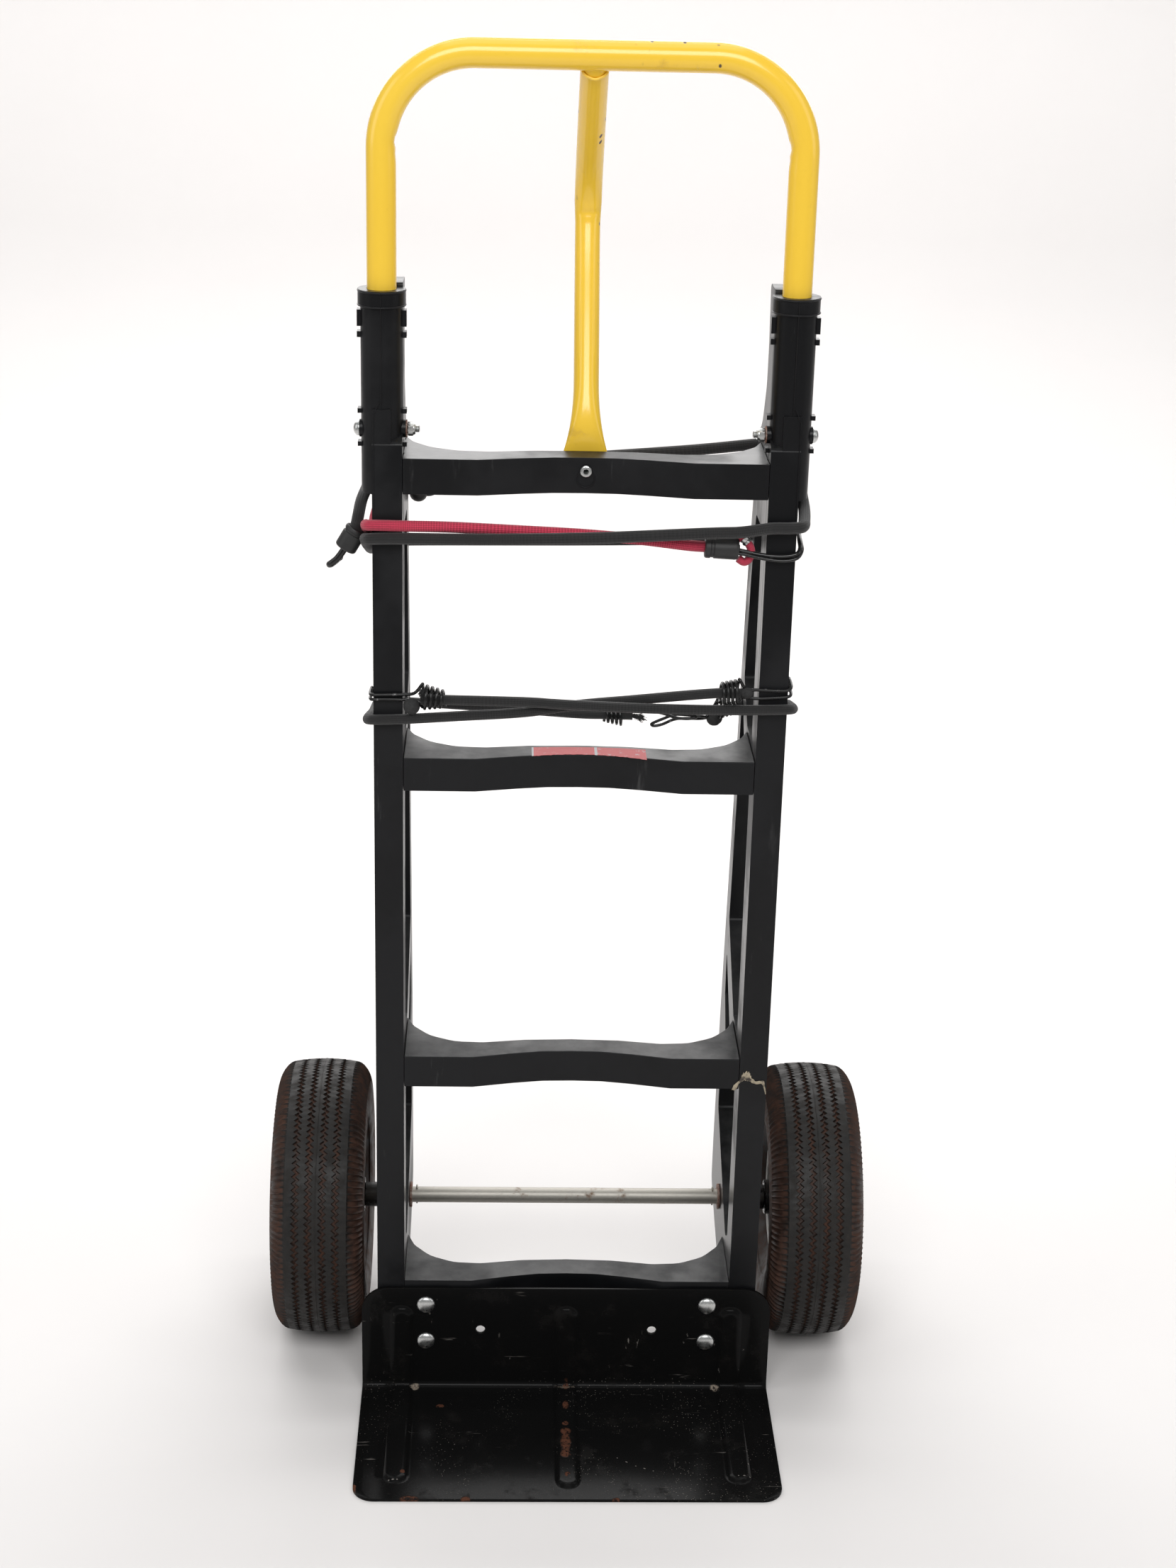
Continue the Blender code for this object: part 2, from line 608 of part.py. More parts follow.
def wheel(side, sign):
    """One pneumatic wheel about its axle: casing, inner tube, rim, hub and bearings."""
    hub_axis = empty("wheel_axis_" + side, (sign * WHEEL_X, AXLE_Y, TYRE_RADIUS), ROOT)
    outward = "X" if sign > 0 else "-X"

    def fit(profile, name, finish, at=0.0, steps=24):
        return own(turned(profile, (sign * at, 0, 0), outward, steps), name + "_" + side, finish, hub_axis)

    fit(tyre_profile(), "tyre", TYRE_RUBBER, steps=36)
    belly = [(0.0195, 0.0620), (0.0300, 0.0740), (0.0350, 0.0900), (0.0350, 0.1050), (0.0300, 0.1180)]
    loop = belly + [(0.0180, 0.1260)] + [(-0.0180, 0.1260)] + [(-x, r) for x, r in reversed(belly)]
    fit(loop, "inner_tube", TUBE_RUBBER, steps=20)
    fit(rim_profile(), "rim", RIM_PAINT)
    hub = ring_profile(-0.0415, HUB_HALF, HUB_BORE, HUB_RADIUS)
    fit(hub, "hub", BLACK_STEEL, steps=20)
    bearing = ring_profile(-BEARING_WIDTH / 2, BEARING_WIDTH / 2, AXLE_RADIUS + GAP, HUB_BORE - GAP)
    fit(bearing, "bearing_outer", BEARING_STEEL, at=HUB_HALF - BEARING_WIDTH / 2, steps=16)
    fit(bearing, "bearing_inner", BEARING_STEEL, at=BEARING_WIDTH / 2 - 0.0415, steps=16)
    stem = [(0.0, 0), (0.0, 0.0032), (-0.020, 0.0032), (-0.020, 0)]
    valve = turned(stem, (-sign * 0.0120, 0, -0.0360), outward, 8)
    own(valve, "valve_stem_" + side, TUBE_RUBBER, hub_axis)
    return hub_axis


def axle_set():
    """The fixed axle, with a spacer, washers and pins at each end."""
    place = (0, AXLE_Y, TYRE_RADIUS)
    rod = own(cylinder(AXLE_RADIUS, 2 * AXLE_HALF, place, "X", 16), "axle", DULL_ZINC)
    for side, sign in (("left", -1), ("right", 1)):
        for pin_x in (0.1520, 0.2875):
            drill(rod, 0.0022, 0.040, (sign * pin_x, AXLE_Y, TYRE_RADIUS), "Z", 8)
        outward = "X" if sign > 0 else "-X"
        bore = AXLE_RADIUS + GAP

        def collar(name, near, far, radius, finish, sides=16):
            middle = (sign * (near + far) / 2, AXLE_Y, TYRE_RADIUS)
            half = (far - near) / 2
            ring = turned(ring_profile(-half, half, bore, radius), middle, outward, sides)
            own(ring, name + "_" + side, finish)

        collar("axle_spacer", RAIL_OUTER_X + GAP, WHEEL_X - 0.0418, 0.0125, BLACK_STEEL)
        collar("axle_washer", WHEEL_X + HUB_HALF + GAP, WHEEL_X + HUB_HALF + 0.0023, 0.0140, ZINC)
        collar("frame_washer", RAIL_INNER_X - 0.0026, RAIL_INNER_X - GAP, 0.0130, DULL_ZINC)
        for name, pin_x, length in (("frame_pin_", 0.1520, 0.026), ("cotter_pin_", 0.2875, 0.030)):
            pin = cylinder(0.0019, length, (sign * pin_x, AXLE_Y, TYRE_RADIUS), "Z", 8)
            own(pin, name + side, ZINC)


# ---------------------------------------------------------------- bungee cords

RED_KNOTS = (
    (0.1048, -0.0035, 0.8690), (0.0891, -0.0035, 0.8700), (0.0500, -0.0020, 0.8740),
    (0.0000, -0.0010, 0.8775), (-0.0540, -0.0015, 0.8800), (-0.1150, -0.0035, 0.8828),
    (-0.1590, -0.0053, 0.8837), (-0.1800, -0.0056, 0.8840), (-0.1893, -0.0040, 0.8836),
    (-0.1912, 0.0060, 0.8810), (-0.1912, 0.0400, 0.8665), (-0.1912, 0.0700, 0.8550),
    (-0.1912, 0.1000, 0.8465), (-0.1912, 0.1250, 0.8455), (-0.1908, 0.1400, 0.8530),
    (-0.1868, 0.1480, 0.8640), (-0.1790, 0.1540, 0.8765), (-0.1720, 0.1548, 0.8842),
    (-0.1633, 0.1548, 0.8859),
)
LONG_KNOTS = (
    (-0.2073, 0.0115, 0.8748), (-0.2037, 0.0119, 0.8815), (-0.2015, 0.0165, 0.8895),
    (-0.1985, 0.0330, 0.8980), (-0.1935, 0.0550, 0.9015), (-0.1917, 0.0850, 0.9020),
    (-0.1917, 0.1310, 0.9012), (-0.1882, 0.1400, 0.9008), (-0.1780, 0.1455, 0.9010),
    (-0.1500, 0.1475, 0.9020), (-0.0500, 0.1470, 0.9070), (0.0910, 0.1450, 0.9190),
    (0.1620, 0.1425, 0.9275), (0.1810, 0.1400, 0.9295), (0.1903, 0.1345, 0.9292),
    (0.1922, 0.1230, 0.9275), (0.1930, 0.0600, 0.9145), (0.1965, 0.0420, 0.9055),
    (0.1975, 0.0250, 0.8965), (0.1945, 0.0080, 0.8910), (0.1902, -0.0042, 0.8885),
    (0.1800, -0.0062, 0.8864), (0.1608, -0.0080, 0.8848), (0.1350, -0.0165, 0.8822),
    (0.1050, -0.0175, 0.8815), (0.0078, -0.0130, 0.8766), (-0.0743, -0.0120, 0.8748),
    (-0.1150, -0.0100, 0.8738), (-0.1559, -0.0062, 0.8727), (-0.1800, -0.0060, 0.8722),
    (-0.1897, -0.0043, 0.8712), (-0.1917, 0.0060, 0.8685), (-0.1917, 0.0400, 0.8545),
    (-0.1917, 0.1000, 0.8345), (-0.1914, 0.1470, 0.8280), (-0.1868, 0.1545, 0.8266),
    (-0.1770, 0.1575, 0.8262), (-0.1400, 0.1580, 0.8272), (0.0000, 0.1580, 0.8299),
    (0.1180, 0.1580, 0.8352),
)
SHORT_LEFT_KNOTS = (
    (-0.1432, -0.0067, 0.7249), (-0.1360, -0.0066, 0.7250), (-0.1270, -0.0066, 0.7250),
    (-0.1150, -0.0066, 0.7250), (-0.0505, -0.0070, 0.7242), (-0.0250, -0.0098, 0.7238),
    (0.0002, -0.0114, 0.7232), (0.0600, -0.0115, 0.7212), (0.1250, -0.0085, 0.7196),
    (0.1608, -0.0054, 0.7190), (0.1800, -0.0053, 0.7196), (0.1891, -0.0037, 0.7196),
    (0.1910, 0.0060, 0.7175), (0.1912, 0.0500, 0.7060), (0.1912, 0.1000, 0.6880),
    (0.1912, 0.1690, 0.6672), (0.1892, 0.1758, 0.6660), (0.1825, 0.1793, 0.6643),
    (0.1640, 0.1801, 0.6608), (0.1540, 0.1799, 0.6588), (0.1450, 0.1798, 0.6570),
)
SHORT_RIGHT_KNOTS = (
    (0.1422, -0.0063, 0.7348), (0.1360, -0.0062, 0.7348), (0.1285, -0.0062, 0.7348),
    (0.1190, -0.0062, 0.7346), (0.0873, -0.0050, 0.7312), (0.0438, -0.0018, 0.7254),
    (0.0000, -0.0010, 0.7205), (-0.0503, -0.0026, 0.7131), (-0.1100, -0.0048, 0.7093),
    (-0.1583, -0.0053, 0.7060), (-0.1800, -0.0053, 0.7051), (-0.1891, -0.0037, 0.7046),
    (-0.1910, 0.0060, 0.7022), (-0.1912, 0.0500, 0.6900), (-0.1912, 0.1000, 0.6760),
    (-0.1912, 0.1700, 0.6605), (-0.1892, 0.1765, 0.6590), (-0.1800, 0.1803, 0.6573),
    (-0.1500, 0.1805, 0.6555), (-0.0700, 0.1770, 0.6525), (0.0000, 0.1730, 0.6499),
    (0.0280, 0.1726, 0.6497), (0.0420, 0.1726, 0.6497), (0.0560, 0.1726, 0.6499),
)


def cord(name, knots, diameter, finish):
    """A woven elastic cord along its route, square to the hook at each end."""
    points = smooth_route(knots, 2.2 * diameter)
    points.insert(1, Vector(knots[0]).lerp(Vector(knots[1]), 0.6))
    points.insert(-1, Vector(knots[-1]).lerp(Vector(knots[-2]), 0.6))
    rope = wire(name, points, diameter / 2, 2)
    return own(rope, name, finish)


def moulded_hook(name, body_start, body_end, radius, hook_points, tip_radius):
    """A moulded hook: a round body on the cord's end and a coated wire with a ball tip."""
    body_start = Vector(body_start)
    body_end = Vector(body_end)
    ahead = body_end - body_start
    bpy.ops.mesh.primitive_cylinder_add(vertices=14, radius=radius, depth=ahead.length)
    body = bpy.context.object
    body.data.transform(ahead.to_track_quat("Z", "Y").to_matrix().to_4x4())
    body.location = (body_start + body_end) / 2
    own(body, name, HOOK_PLASTIC)
    points = smooth_route([body_start.lerp(body_end, 0.6), *hook_points], 0.006)
    join(body, as_mesh(wire("hook_wire", points, 0.0024, 1)))
    join(body, ball(tip_radius, hook_points[-1]))
    return body


def wire_hook(name, collar_start, collar_end, bore, upper, lower, stop=None):
    """A wire hook: a coil that grips the cord, a doubled wire that forms the hook, an end ball."""
    collar_start = Vector(collar_start)
    collar_end = Vector(collar_end)
    ahead = collar_end - collar_start
    coil = turned(
        ring_profile(-ahead.length / 2, ahead.length / 2, bore, bore + 0.0046),
        (collar_start + collar_end) / 2, "Z", 12,
    )
    coil.rotation_euler = ahead.to_track_quat("Z", "Y").to_euler()
    own(coil, name, HOOK_STEEL)
    points = smooth_route([*upper, *reversed(lower)], 0.0065)
    join(coil, as_mesh(wire("hook_wire", points, HOOK_WIRE, 1)))
    if stop:
        join(coil, ball(*stop))
    return coil


def bungee_cords():
    """Four stowed cords with a hook at each end."""
    cord("bungee_red_cord", RED_KNOTS, RED_CORD, RED_WEAVE)
    moulded_hook(
        "bungee_red_hook_front", (0.1051, -0.0035, 0.8690), (0.1345, -0.0035, 0.8675), 0.0098,
        [(0.1450, -0.0034, 0.8640), (0.1600, -0.0033, 0.8615), (0.1750, -0.0033, 0.8610),
         (0.1860, -0.0030, 0.8632), (0.1898, 0.0030, 0.8670), (0.1900, 0.0140, 0.8715),
         (0.1905, 0.0260, 0.8740)], 0.0042,
    )
    moulded_hook(
        "bungee_red_hook_rear", (-0.1630, 0.1548, 0.8860), (-0.1400, 0.1548, 0.8905), 0.0085,
        [(-0.1340, 0.1545, 0.8910), (-0.1290, 0.1510, 0.8870), (-0.1310, 0.1470, 0.8800),
         (-0.1390, 0.1450, 0.8750), (-0.1505, 0.1445, 0.8757)], 0.0083,
    )
    cord("bungee_long_cord", LONG_KNOTS, LONG_CORD, BLACK_WEAVE)
    moulded_hook(
        "bungee_long_hook_left", (-0.2075, 0.0115, 0.8745), (-0.2165, 0.0105, 0.8580), 0.0095,
        [(-0.2210, 0.0102, 0.8535), (-0.2250, 0.0105, 0.8487), (-0.2268, 0.0150, 0.8465),
         (-0.2255, 0.0215, 0.8480), (-0.2215, 0.0255, 0.8530)], 0.0034,
    )
    moulded_hook(
        "bungee_long_hook_rear", (0.1183, 0.1580, 0.8352), (0.1480, 0.1580, 0.8366), 0.0095,
        [(0.1600, 0.1560, 0.8370), (0.1760, 0.1550, 0.8374), (0.1870, 0.1510, 0.8376),
         (0.1905, 0.1400, 0.8376), (0.1912, 0.1260, 0.8376)], 0.0050,
    )
    cord("bungee_short_cord_left", SHORT_LEFT_KNOTS, SHORT_CORD, BLACK_WEAVE)
    cord("bungee_short_cord_right", SHORT_RIGHT_KNOTS, SHORT_CORD, BLACK_WEAVE)
    bore = SHORT_CORD / 2 + 3 * GAP
    wire_hook(
        "wire_hook_left_front", (-0.1409, -0.0066, 0.7250), (-0.1213, -0.0066, 0.7250), bore,
        [(-0.1360, -0.0028, 0.7312), (-0.1440, -0.0022, 0.7300), (-0.1600, -0.0022, 0.7295),
         (-0.1790, -0.0022, 0.7295), (-0.1873, -0.0016, 0.7293), (-0.1882, 0.0100, 0.7280),
         (-0.1879, 0.0250, 0.7255)],
        [(-0.1360, -0.0028, 0.7188), (-0.1440, -0.0022, 0.7195), (-0.1600, -0.0022, 0.7228),
         (-0.1790, -0.0022, 0.7232), (-0.1873, -0.0016, 0.7229), (-0.1882, 0.0120, 0.7214)],
        (0.0073, (-0.1509, -0.0066, 0.7187)),
    )
    wire_hook(
        "wire_hook_right_front", (0.1241, -0.0062, 0.7348), (0.1413, -0.0062, 0.7348), bore,
        [(0.1405, -0.0026, 0.7410), (0.1490, -0.0022, 0.7402), (0.1620, -0.0022, 0.7372),
         (0.1790, -0.0022, 0.7365), (0.1873, -0.0016, 0.7370), (0.1882, 0.0120, 0.7378),
         (0.1879, 0.0250, 0.7360)],
        [(0.1405, -0.0026, 0.7286), (0.1490, -0.0022, 0.7288), (0.1620, -0.0022, 0.7298),
         (0.1790, -0.0022, 0.7298), (0.1873, -0.0016, 0.7304), (0.1882, 0.0120, 0.7315)],
        (0.0056, (0.1482, -0.0060, 0.7352)),
    )
    wire_hook(
        "wire_hook_left_rear", (0.1555, 0.17993, 0.6591), (0.1385, 0.17965, 0.6557), bore,
        [(0.1420, 0.1740, 0.6512), (0.1340, 0.1735, 0.6492), (0.1250, 0.1725, 0.6490),
         (0.1120, 0.1720, 0.6500), (0.0980, 0.1740, 0.6490), (0.0830, 0.1770, 0.6455),
         (0.0760, 0.1810, 0.6450)],
        [(0.1420, 0.1852, 0.6514), (0.1340, 0.1850, 0.6492), (0.1250, 0.1820, 0.6485),
         (0.1120, 0.1795, 0.6490), (0.0980, 0.1805, 0.6475), (0.0830, 0.1830, 0.6450)],
        (0.0078, (0.1361, 0.1800, 0.6466)),
    )
    wire_hook(
        "wire_hook_right_rear", (0.0277, 0.1726, 0.6497), (0.0476, 0.1726, 0.6498), bore,
        [(0.0450, 0.1678, 0.6550), (0.0540, 0.1675, 0.6585), (0.0660, 0.1690, 0.6590),
         (0.0780, 0.1700, 0.6580), (0.0880, 0.1720, 0.6560), (0.0920, 0.1770, 0.6550)],
        [(0.0450, 0.1774, 0.6550), (0.0540, 0.1780, 0.6585), (0.0660, 0.1785, 0.6590),
         (0.0780, 0.1790, 0.6575), (0.0860, 0.1800, 0.6560)],
    )


def hand_truck():
    """The whole truck."""
    for side, sign in (("left", -1), ("right", 1)):
        side_frame(side, sign)
    for level in BAR_TOPS:
        crossbar(level)
    handle_loop()
    centre_grip()
    fasteners()
    toe_plate()
    axle_set()
    for side, sign in (("left", -1), ("right", 1)):
        wheel(side, sign)
    bungee_cords()


hand_truck()
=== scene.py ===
"""Looks of the hand truck: finishes, tread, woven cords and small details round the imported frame."""

import json
import random
from math import copysign, cos, exp, hypot, pi, radians, sin, sqrt

import bmesh
import bpy
from mathutils import Matrix, Vector


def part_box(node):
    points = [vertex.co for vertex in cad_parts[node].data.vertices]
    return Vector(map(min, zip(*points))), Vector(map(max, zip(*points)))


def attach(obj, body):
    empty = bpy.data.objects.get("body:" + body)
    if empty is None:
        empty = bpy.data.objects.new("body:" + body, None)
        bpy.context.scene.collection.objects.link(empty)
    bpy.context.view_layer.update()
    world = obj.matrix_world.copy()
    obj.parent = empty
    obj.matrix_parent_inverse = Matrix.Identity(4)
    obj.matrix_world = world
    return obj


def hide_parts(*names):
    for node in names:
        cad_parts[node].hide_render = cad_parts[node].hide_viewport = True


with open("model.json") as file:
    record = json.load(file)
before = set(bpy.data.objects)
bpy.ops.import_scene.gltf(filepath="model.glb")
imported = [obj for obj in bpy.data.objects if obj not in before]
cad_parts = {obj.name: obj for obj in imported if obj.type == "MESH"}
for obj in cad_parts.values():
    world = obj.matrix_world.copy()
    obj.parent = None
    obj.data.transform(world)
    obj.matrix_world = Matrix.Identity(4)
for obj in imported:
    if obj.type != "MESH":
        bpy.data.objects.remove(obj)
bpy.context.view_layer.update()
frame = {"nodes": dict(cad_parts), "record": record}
NODES = frame["nodes"]

# the rails' front face and the axle, read from the frame
RAIL_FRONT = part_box("side_frame_right")[0].y
AXLE_LOW, AXLE_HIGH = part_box("axle")
AXLE_Y = (AXLE_LOW.y + AXLE_HIGH.y) / 2
AXLE_Z = (AXLE_LOW.z + AXLE_HIGH.z) / 2
SIDES = (("left", -1), ("right", 1))
ALONG, BACK, UP = Vector((1, 0, 0)), Vector((0, 1, 0)), Vector((0, 0, 1))


def at(x, y, z):
    """A place given from the rails' front face, in the frame's own coordinates."""
    return Vector((x, y + RAIL_FRONT, z))


def tenths(*points):
    """Points given in tenths of a millimetre, in metres."""
    return [tuple(value / 10000 for value in point) for point in points]


def places(*points):
    """Places given in tenths of a millimetre from the rails' front face, in the frame's own coordinates."""
    return [at(*point) for point in tenths(*points)]


# ---- finishes

class Finish:
    """A Principled material built up from small node steps."""

    def __init__(self, name, roughness=0.5, metallic=0.0, **sockets):
        self.material = bpy.data.materials.new(name)
        self.material.use_nodes = True
        self.tree = self.material.node_tree
        self.shader = self.tree.nodes["Principled BSDF"]
        self.shader.inputs["Roughness"].default_value = roughness
        self.shader.inputs["Metallic"].default_value = metallic
        for socket, value in sockets.items():
            self.shader.inputs[socket.replace("_", " ")].default_value = value
        self.place = self.step("ShaderNodeTexCoord").outputs["Object"]

    def step(self, kind, inputs=None, **settings):
        """Add a node, set its properties, and set or link its inputs."""
        node = self.tree.nodes.new(kind)
        for key, value in settings.items():
            setattr(node, key, value)
        for key, value in (inputs or {}).items():
            self.feed(node.inputs[key], value)
        return node

    def feed(self, socket, value):
        """Link a socket to another node's output, or set its value; a colour is opaque."""
        if isinstance(value, bpy.types.NodeSocket):
            self.tree.links.new(value, socket)
        else:
            socket.default_value = (*value, 1) if socket.type == "RGBA" else value

    def stretched(self, scale):
        """Object coordinates scaled by a different amount on each axis."""
        return self.step("ShaderNodeMapping", {"Vector": self.place, "Scale": scale}).outputs[0]

    def noise(self, scale, detail, rough=0.55, place=None):
        """Smooth noise, 0 to 1."""
        inputs = {"Vector": place or self.place, "Scale": scale, "Detail": detail, "Roughness": rough}
        return self.step("ShaderNodeTexNoise", inputs).outputs["Fac"]

    def cells(self, scale, place=None):
        """Distance to the nearest of scattered points."""
        inputs = {"Vector": place or self.place, "Scale": scale}
        return self.step("ShaderNodeTexVoronoi", inputs).outputs["Distance"]

    def between(self, value, low, high, start=0.0, end=1.0):
        """A value mapped from low..high to start..end, held at both ends."""
        inputs = {"Value": value, "From Min": low, "From Max": high, "To Min": start, "To Max": end}
        return self.step("ShaderNodeMapRange", inputs, interpolation_type="SMOOTHSTEP").outputs[0]

    def patchy(self, low, high, *noise):
        """Noise with its stretch from low to high spread over 0 to 1."""
        return self.between(self.noise(*noise), low, high)

    def maths(self, operation, first, second=0.0):
        """One arithmetic step."""
        return self.step("ShaderNodeMath", {0: first, 1: second}, operation=operation).outputs[0]

    def times(self, first, second):
        """A product."""
        return self.maths("MULTIPLY", first, second)

    def most(self, first, second):
        """The larger of two values."""
        return self.maths("MAXIMUM", first, second)

    def vector(self, operation, inputs, result="Vector"):
        """One step of vector arithmetic."""
        return self.step("ShaderNodeVectorMath", inputs, operation=operation).outputs[result]

    def mix(self, share, first, second):
        """A colour between two colours."""
        node = self.step("ShaderNodeMix", data_type="RGBA")
        for key, value in (("Factor", share), ("A", first), ("B", second)):
            self.feed(node.inputs[key], value)
        return node.outputs["Result"]

    def axis(self, name):
        """One object coordinate, in metres."""
        return self.step("ShaderNodeSeparateXYZ", {0: self.place}).outputs[name]

    def stroke(self, start, end, width):
        """One within a width of a line on the floor plane, given from the rails' front face, else zero."""
        first = at(*start, 0)
        run = at(*end, 0) - first
        flat = self.vector("SUBTRACT", {0: self.stretched((1, 1, 0)), 1: first})
        share = self.vector("DOT_PRODUCT", {0: flat, 1: run / run.length_squared}, "Value")
        near = self.vector("SCALE", {0: run, "Scale": self.between(share, 0.0, 1.0)})
        gap = self.vector("DISTANCE", {0: flat, 1: near}, "Value")
        return self.between(gap, width, 0.6 * width)

    def facing(self, name):
        """One part of the surface's own direction."""
        normal = self.step("ShaderNodeNewGeometry").outputs["Normal"]
        return self.step("ShaderNodeSeparateXYZ", {0: normal}).outputs[name]

    def bump(self, height, distance, strength):
        """Raise the surface by a height map, on top of any bump before it."""
        inputs = {"Height": height, "Distance": distance, "Strength": strength}
        for link in list(self.shader.inputs["Normal"].links):
            inputs["Normal"] = link.from_socket
        self.feed(self.shader.inputs["Normal"], self.step("ShaderNodeBump", inputs).outputs[0])

    def colour(self, value):
        """Set or link the base colour."""
        self.feed(self.shader.inputs["Base Color"], value)

    def rough(self, value, *span):
        """Set the roughness by a value, mapped as between() does."""
        self.feed(self.shader.inputs["Roughness"], self.between(value, *span))


def grey(value):
    """A neutral colour."""
    return (value, value, value)


# scratches on the toe plate, start and end, and its rust, start, end and half width
TOE_SCRATCHES = (
    ((0.1726, -0.1112), (0.1721, -0.1517)), ((0.1721, -0.1517), (0.1612, -0.1517)),
    ((0.0479, -0.121), (0.065, -0.1335)), ((0.065, -0.1335), (0.0813, -0.141)),
    ((-0.168, -0.1577), (-0.16, -0.1577)),
)
TOE_RUST = (
    ((0.0008, -0.009), (-0.0008, -0.07), 0.0036), ((-0.0007, -0.0822), (-0.0013, -0.119), 0.0058),
    ((-0.0002, -0.1495), (-0.0002, -0.151), 0.003), ((-0.1555, -0.146), (-0.1555, -0.147), 0.0026),
    ((-0.1245, -0.0379), (-0.122, -0.0379), 0.0032), ((-0.2, -0.1835), (-0.0952, -0.185), 0.0048),
    ((0.043, -0.1845), (0.0455, -0.1845), 0.0026), ((-0.2005, -0.166), (-0.2, -0.178), 0.003),
)


def moulded_nylon():
    """Black glass-filled nylon: fine grain, rubbed patches, pale scuffs and dust on top faces."""
    look = Finish("black_nylon_moulded", Specular_IOR_Level=0.22)
    patches = look.patchy(0.42, 0.62, 9, 5)
    fine = look.noise(900, 2)
    scuff_place = look.stretched((70, 70, 9))
    scuffs = look.patchy(0.6, 0.74, 1.0, 6, 0.7, scuff_place)
    marks = look.times(scuffs, look.patchy(0.5, 0.62, 5, 2))
    top = look.between(look.facing("Z"), 0.6, 1.0)
    dust = look.times(top, look.patchy(0.3, 0.7, 60, 5))
    base = look.mix(patches, (0.005, 0.0052, 0.006), (0.009, 0.0093, 0.0104))
    base = look.mix(look.times(marks, 0.4), base, (0.12, 0.12, 0.12))
    base = look.mix(look.times(dust, 0.26), base, (0.1, 0.1, 0.098))
    look.colour(base)
    look.rough(look.maths("ADD", patches, marks), 0.0, 1.6, 0.3, 0.58)
    look.bump(fine, 0.00006, 0.6)
    look.bump(look.noise(120, 4), 0.00015, 0.35)
    return look.material


def yellow_paint():
    """Gloss yellow paint with a slight orange peel, rubbed spots and small dark chips."""
    look = Finish("yellow_paint_gloss", 0.24, Coat_Weight=0.35, Coat_Roughness=0.12)
    tone = look.noise(6, 4)
    base = look.mix(tone, (0.93, 0.575, 0.036), (0.96, 0.64, 0.06))
    grime = look.patchy(0.6, 0.78, 38, 6, 0.7)
    base = look.mix(look.times(grime, 0.35), base, (0.42, 0.23, 0.02))
    chip_place = look.stretched((1, 1, 0.6))
    chips = look.between(look.cells(95, chip_place), 0.17, 0.12)
    near = look.patchy(0.55, 0.64, 7, 3)
    worn = look.times(chips, near)
    base = look.mix(worn, base, (0.055, 0.035, 0.02))
    look.colour(base)
    look.rough(look.maths("ADD", grime, worn), 0.0, 1.2, 0.22, 0.5)
    look.bump(look.noise(260, 2), 0.00004, 0.5)
    look.bump(worn, -0.0002, 0.8)
    return look.material


def toe_paint():
    """Gloss black paint on steel: scratches, dirt in the bend, rust on the middle rib and front edge."""
    look = Finish("black_paint_worn", 0.2, Specular_IOR_Level=0.07)
    across = look.stretched((14, 160, 160))
    along = look.stretched((190, 12, 60))
    lines = look.patchy(0.66, 0.72, 1.0, 4, 0.6, across)
    more = look.patchy(0.68, 0.74, 1.0, 4, 0.6, along)
    scratches = look.most(lines, more)
    scratches = look.times(scratches, look.patchy(0.45, 0.62, 14, 3))
    for start, end in TOE_SCRATCHES:
        scratches = look.most(scratches, look.stroke(start, end, 0.0007))
    ragged = look.noise(170, 6, 0.75)
    grime = look.patchy(0.5, 0.8, 24, 6, 0.7)
    base = look.mix(look.times(grime, 0.3), grey(0.005), (0.018, 0.015, 0.013))
    base = look.mix(look.times(scratches, 0.6), base, (0.26, 0.24, 0.22))
    low = look.between(look.axis("Z"), 0.016, 0.009)
    rust = 0.0
    for start, end, width in TOE_RUST:
        patch = look.times(look.stroke(start, end, width), look.between(ragged, 0.42, 0.52))
        rust = look.most(patch, rust)
    rust = look.times(rust, low)
    specks = look.between(look.cells(330), 0.17, 0.11)
    specks = look.times(specks, look.patchy(0.46, 0.6, 11, 4))
    specks = look.times(look.times(specks, low), 0.6)
    base = look.mix(specks, base, (0.2, 0.18, 0.16))
    base = look.mix(rust, base, (0.092, 0.037, 0.022))
    bend = look.stroke((-0.15, -0.0068), (0.15, -0.0068), 0.0056)
    bend = look.times(bend, look.patchy(0.41, 0.56, 420, 5, 0.7))
    dirt = look.times(bend, look.between(look.axis("Z"), 0.0066, 0.0052))
    base = look.mix(look.times(dirt, 0.8), base, (0.3, 0.25, 0.2))
    look.colour(base)
    worn = look.most(look.most(rust, dirt), look.most(grime, scratches))
    look.rough(worn, 0.0, 1.0, 0.17, 0.75)
    look.bump(look.noise(90, 4), 0.0001, 0.3)
    look.bump(rust, 0.0003, 0.6)
    look.bump(scratches, -0.00008, 0.6)
    return look.material


def zinc(name, colour, dull, rust, metal=1.0):
    """Zinc plate: spangled grey with dull patches and, where worn, brown rust."""
    look = Finish(name, 0.3, 1.0)
    spangle = look.noise(300, 3)
    stain = look.patchy(0.62 - 0.25 * rust, 0.8 - 0.2 * rust, 55, 6, 0.7)
    base = look.mix(spangle, tuple(0.75 * c for c in colour), colour)
    base = look.mix(stain, base, (0.16, 0.085, 0.04))
    look.colour(base)
    look.feed(look.shader.inputs["Metallic"], look.between(stain, 0.0, 1.0, metal, 0.25))
    look.rough(look.maths("ADD", spangle, stain), 0.2, 1.6, dull, dull + 0.35)
    look.bump(look.noise(420, 3), 0.00005, 0.5)
    return look.material


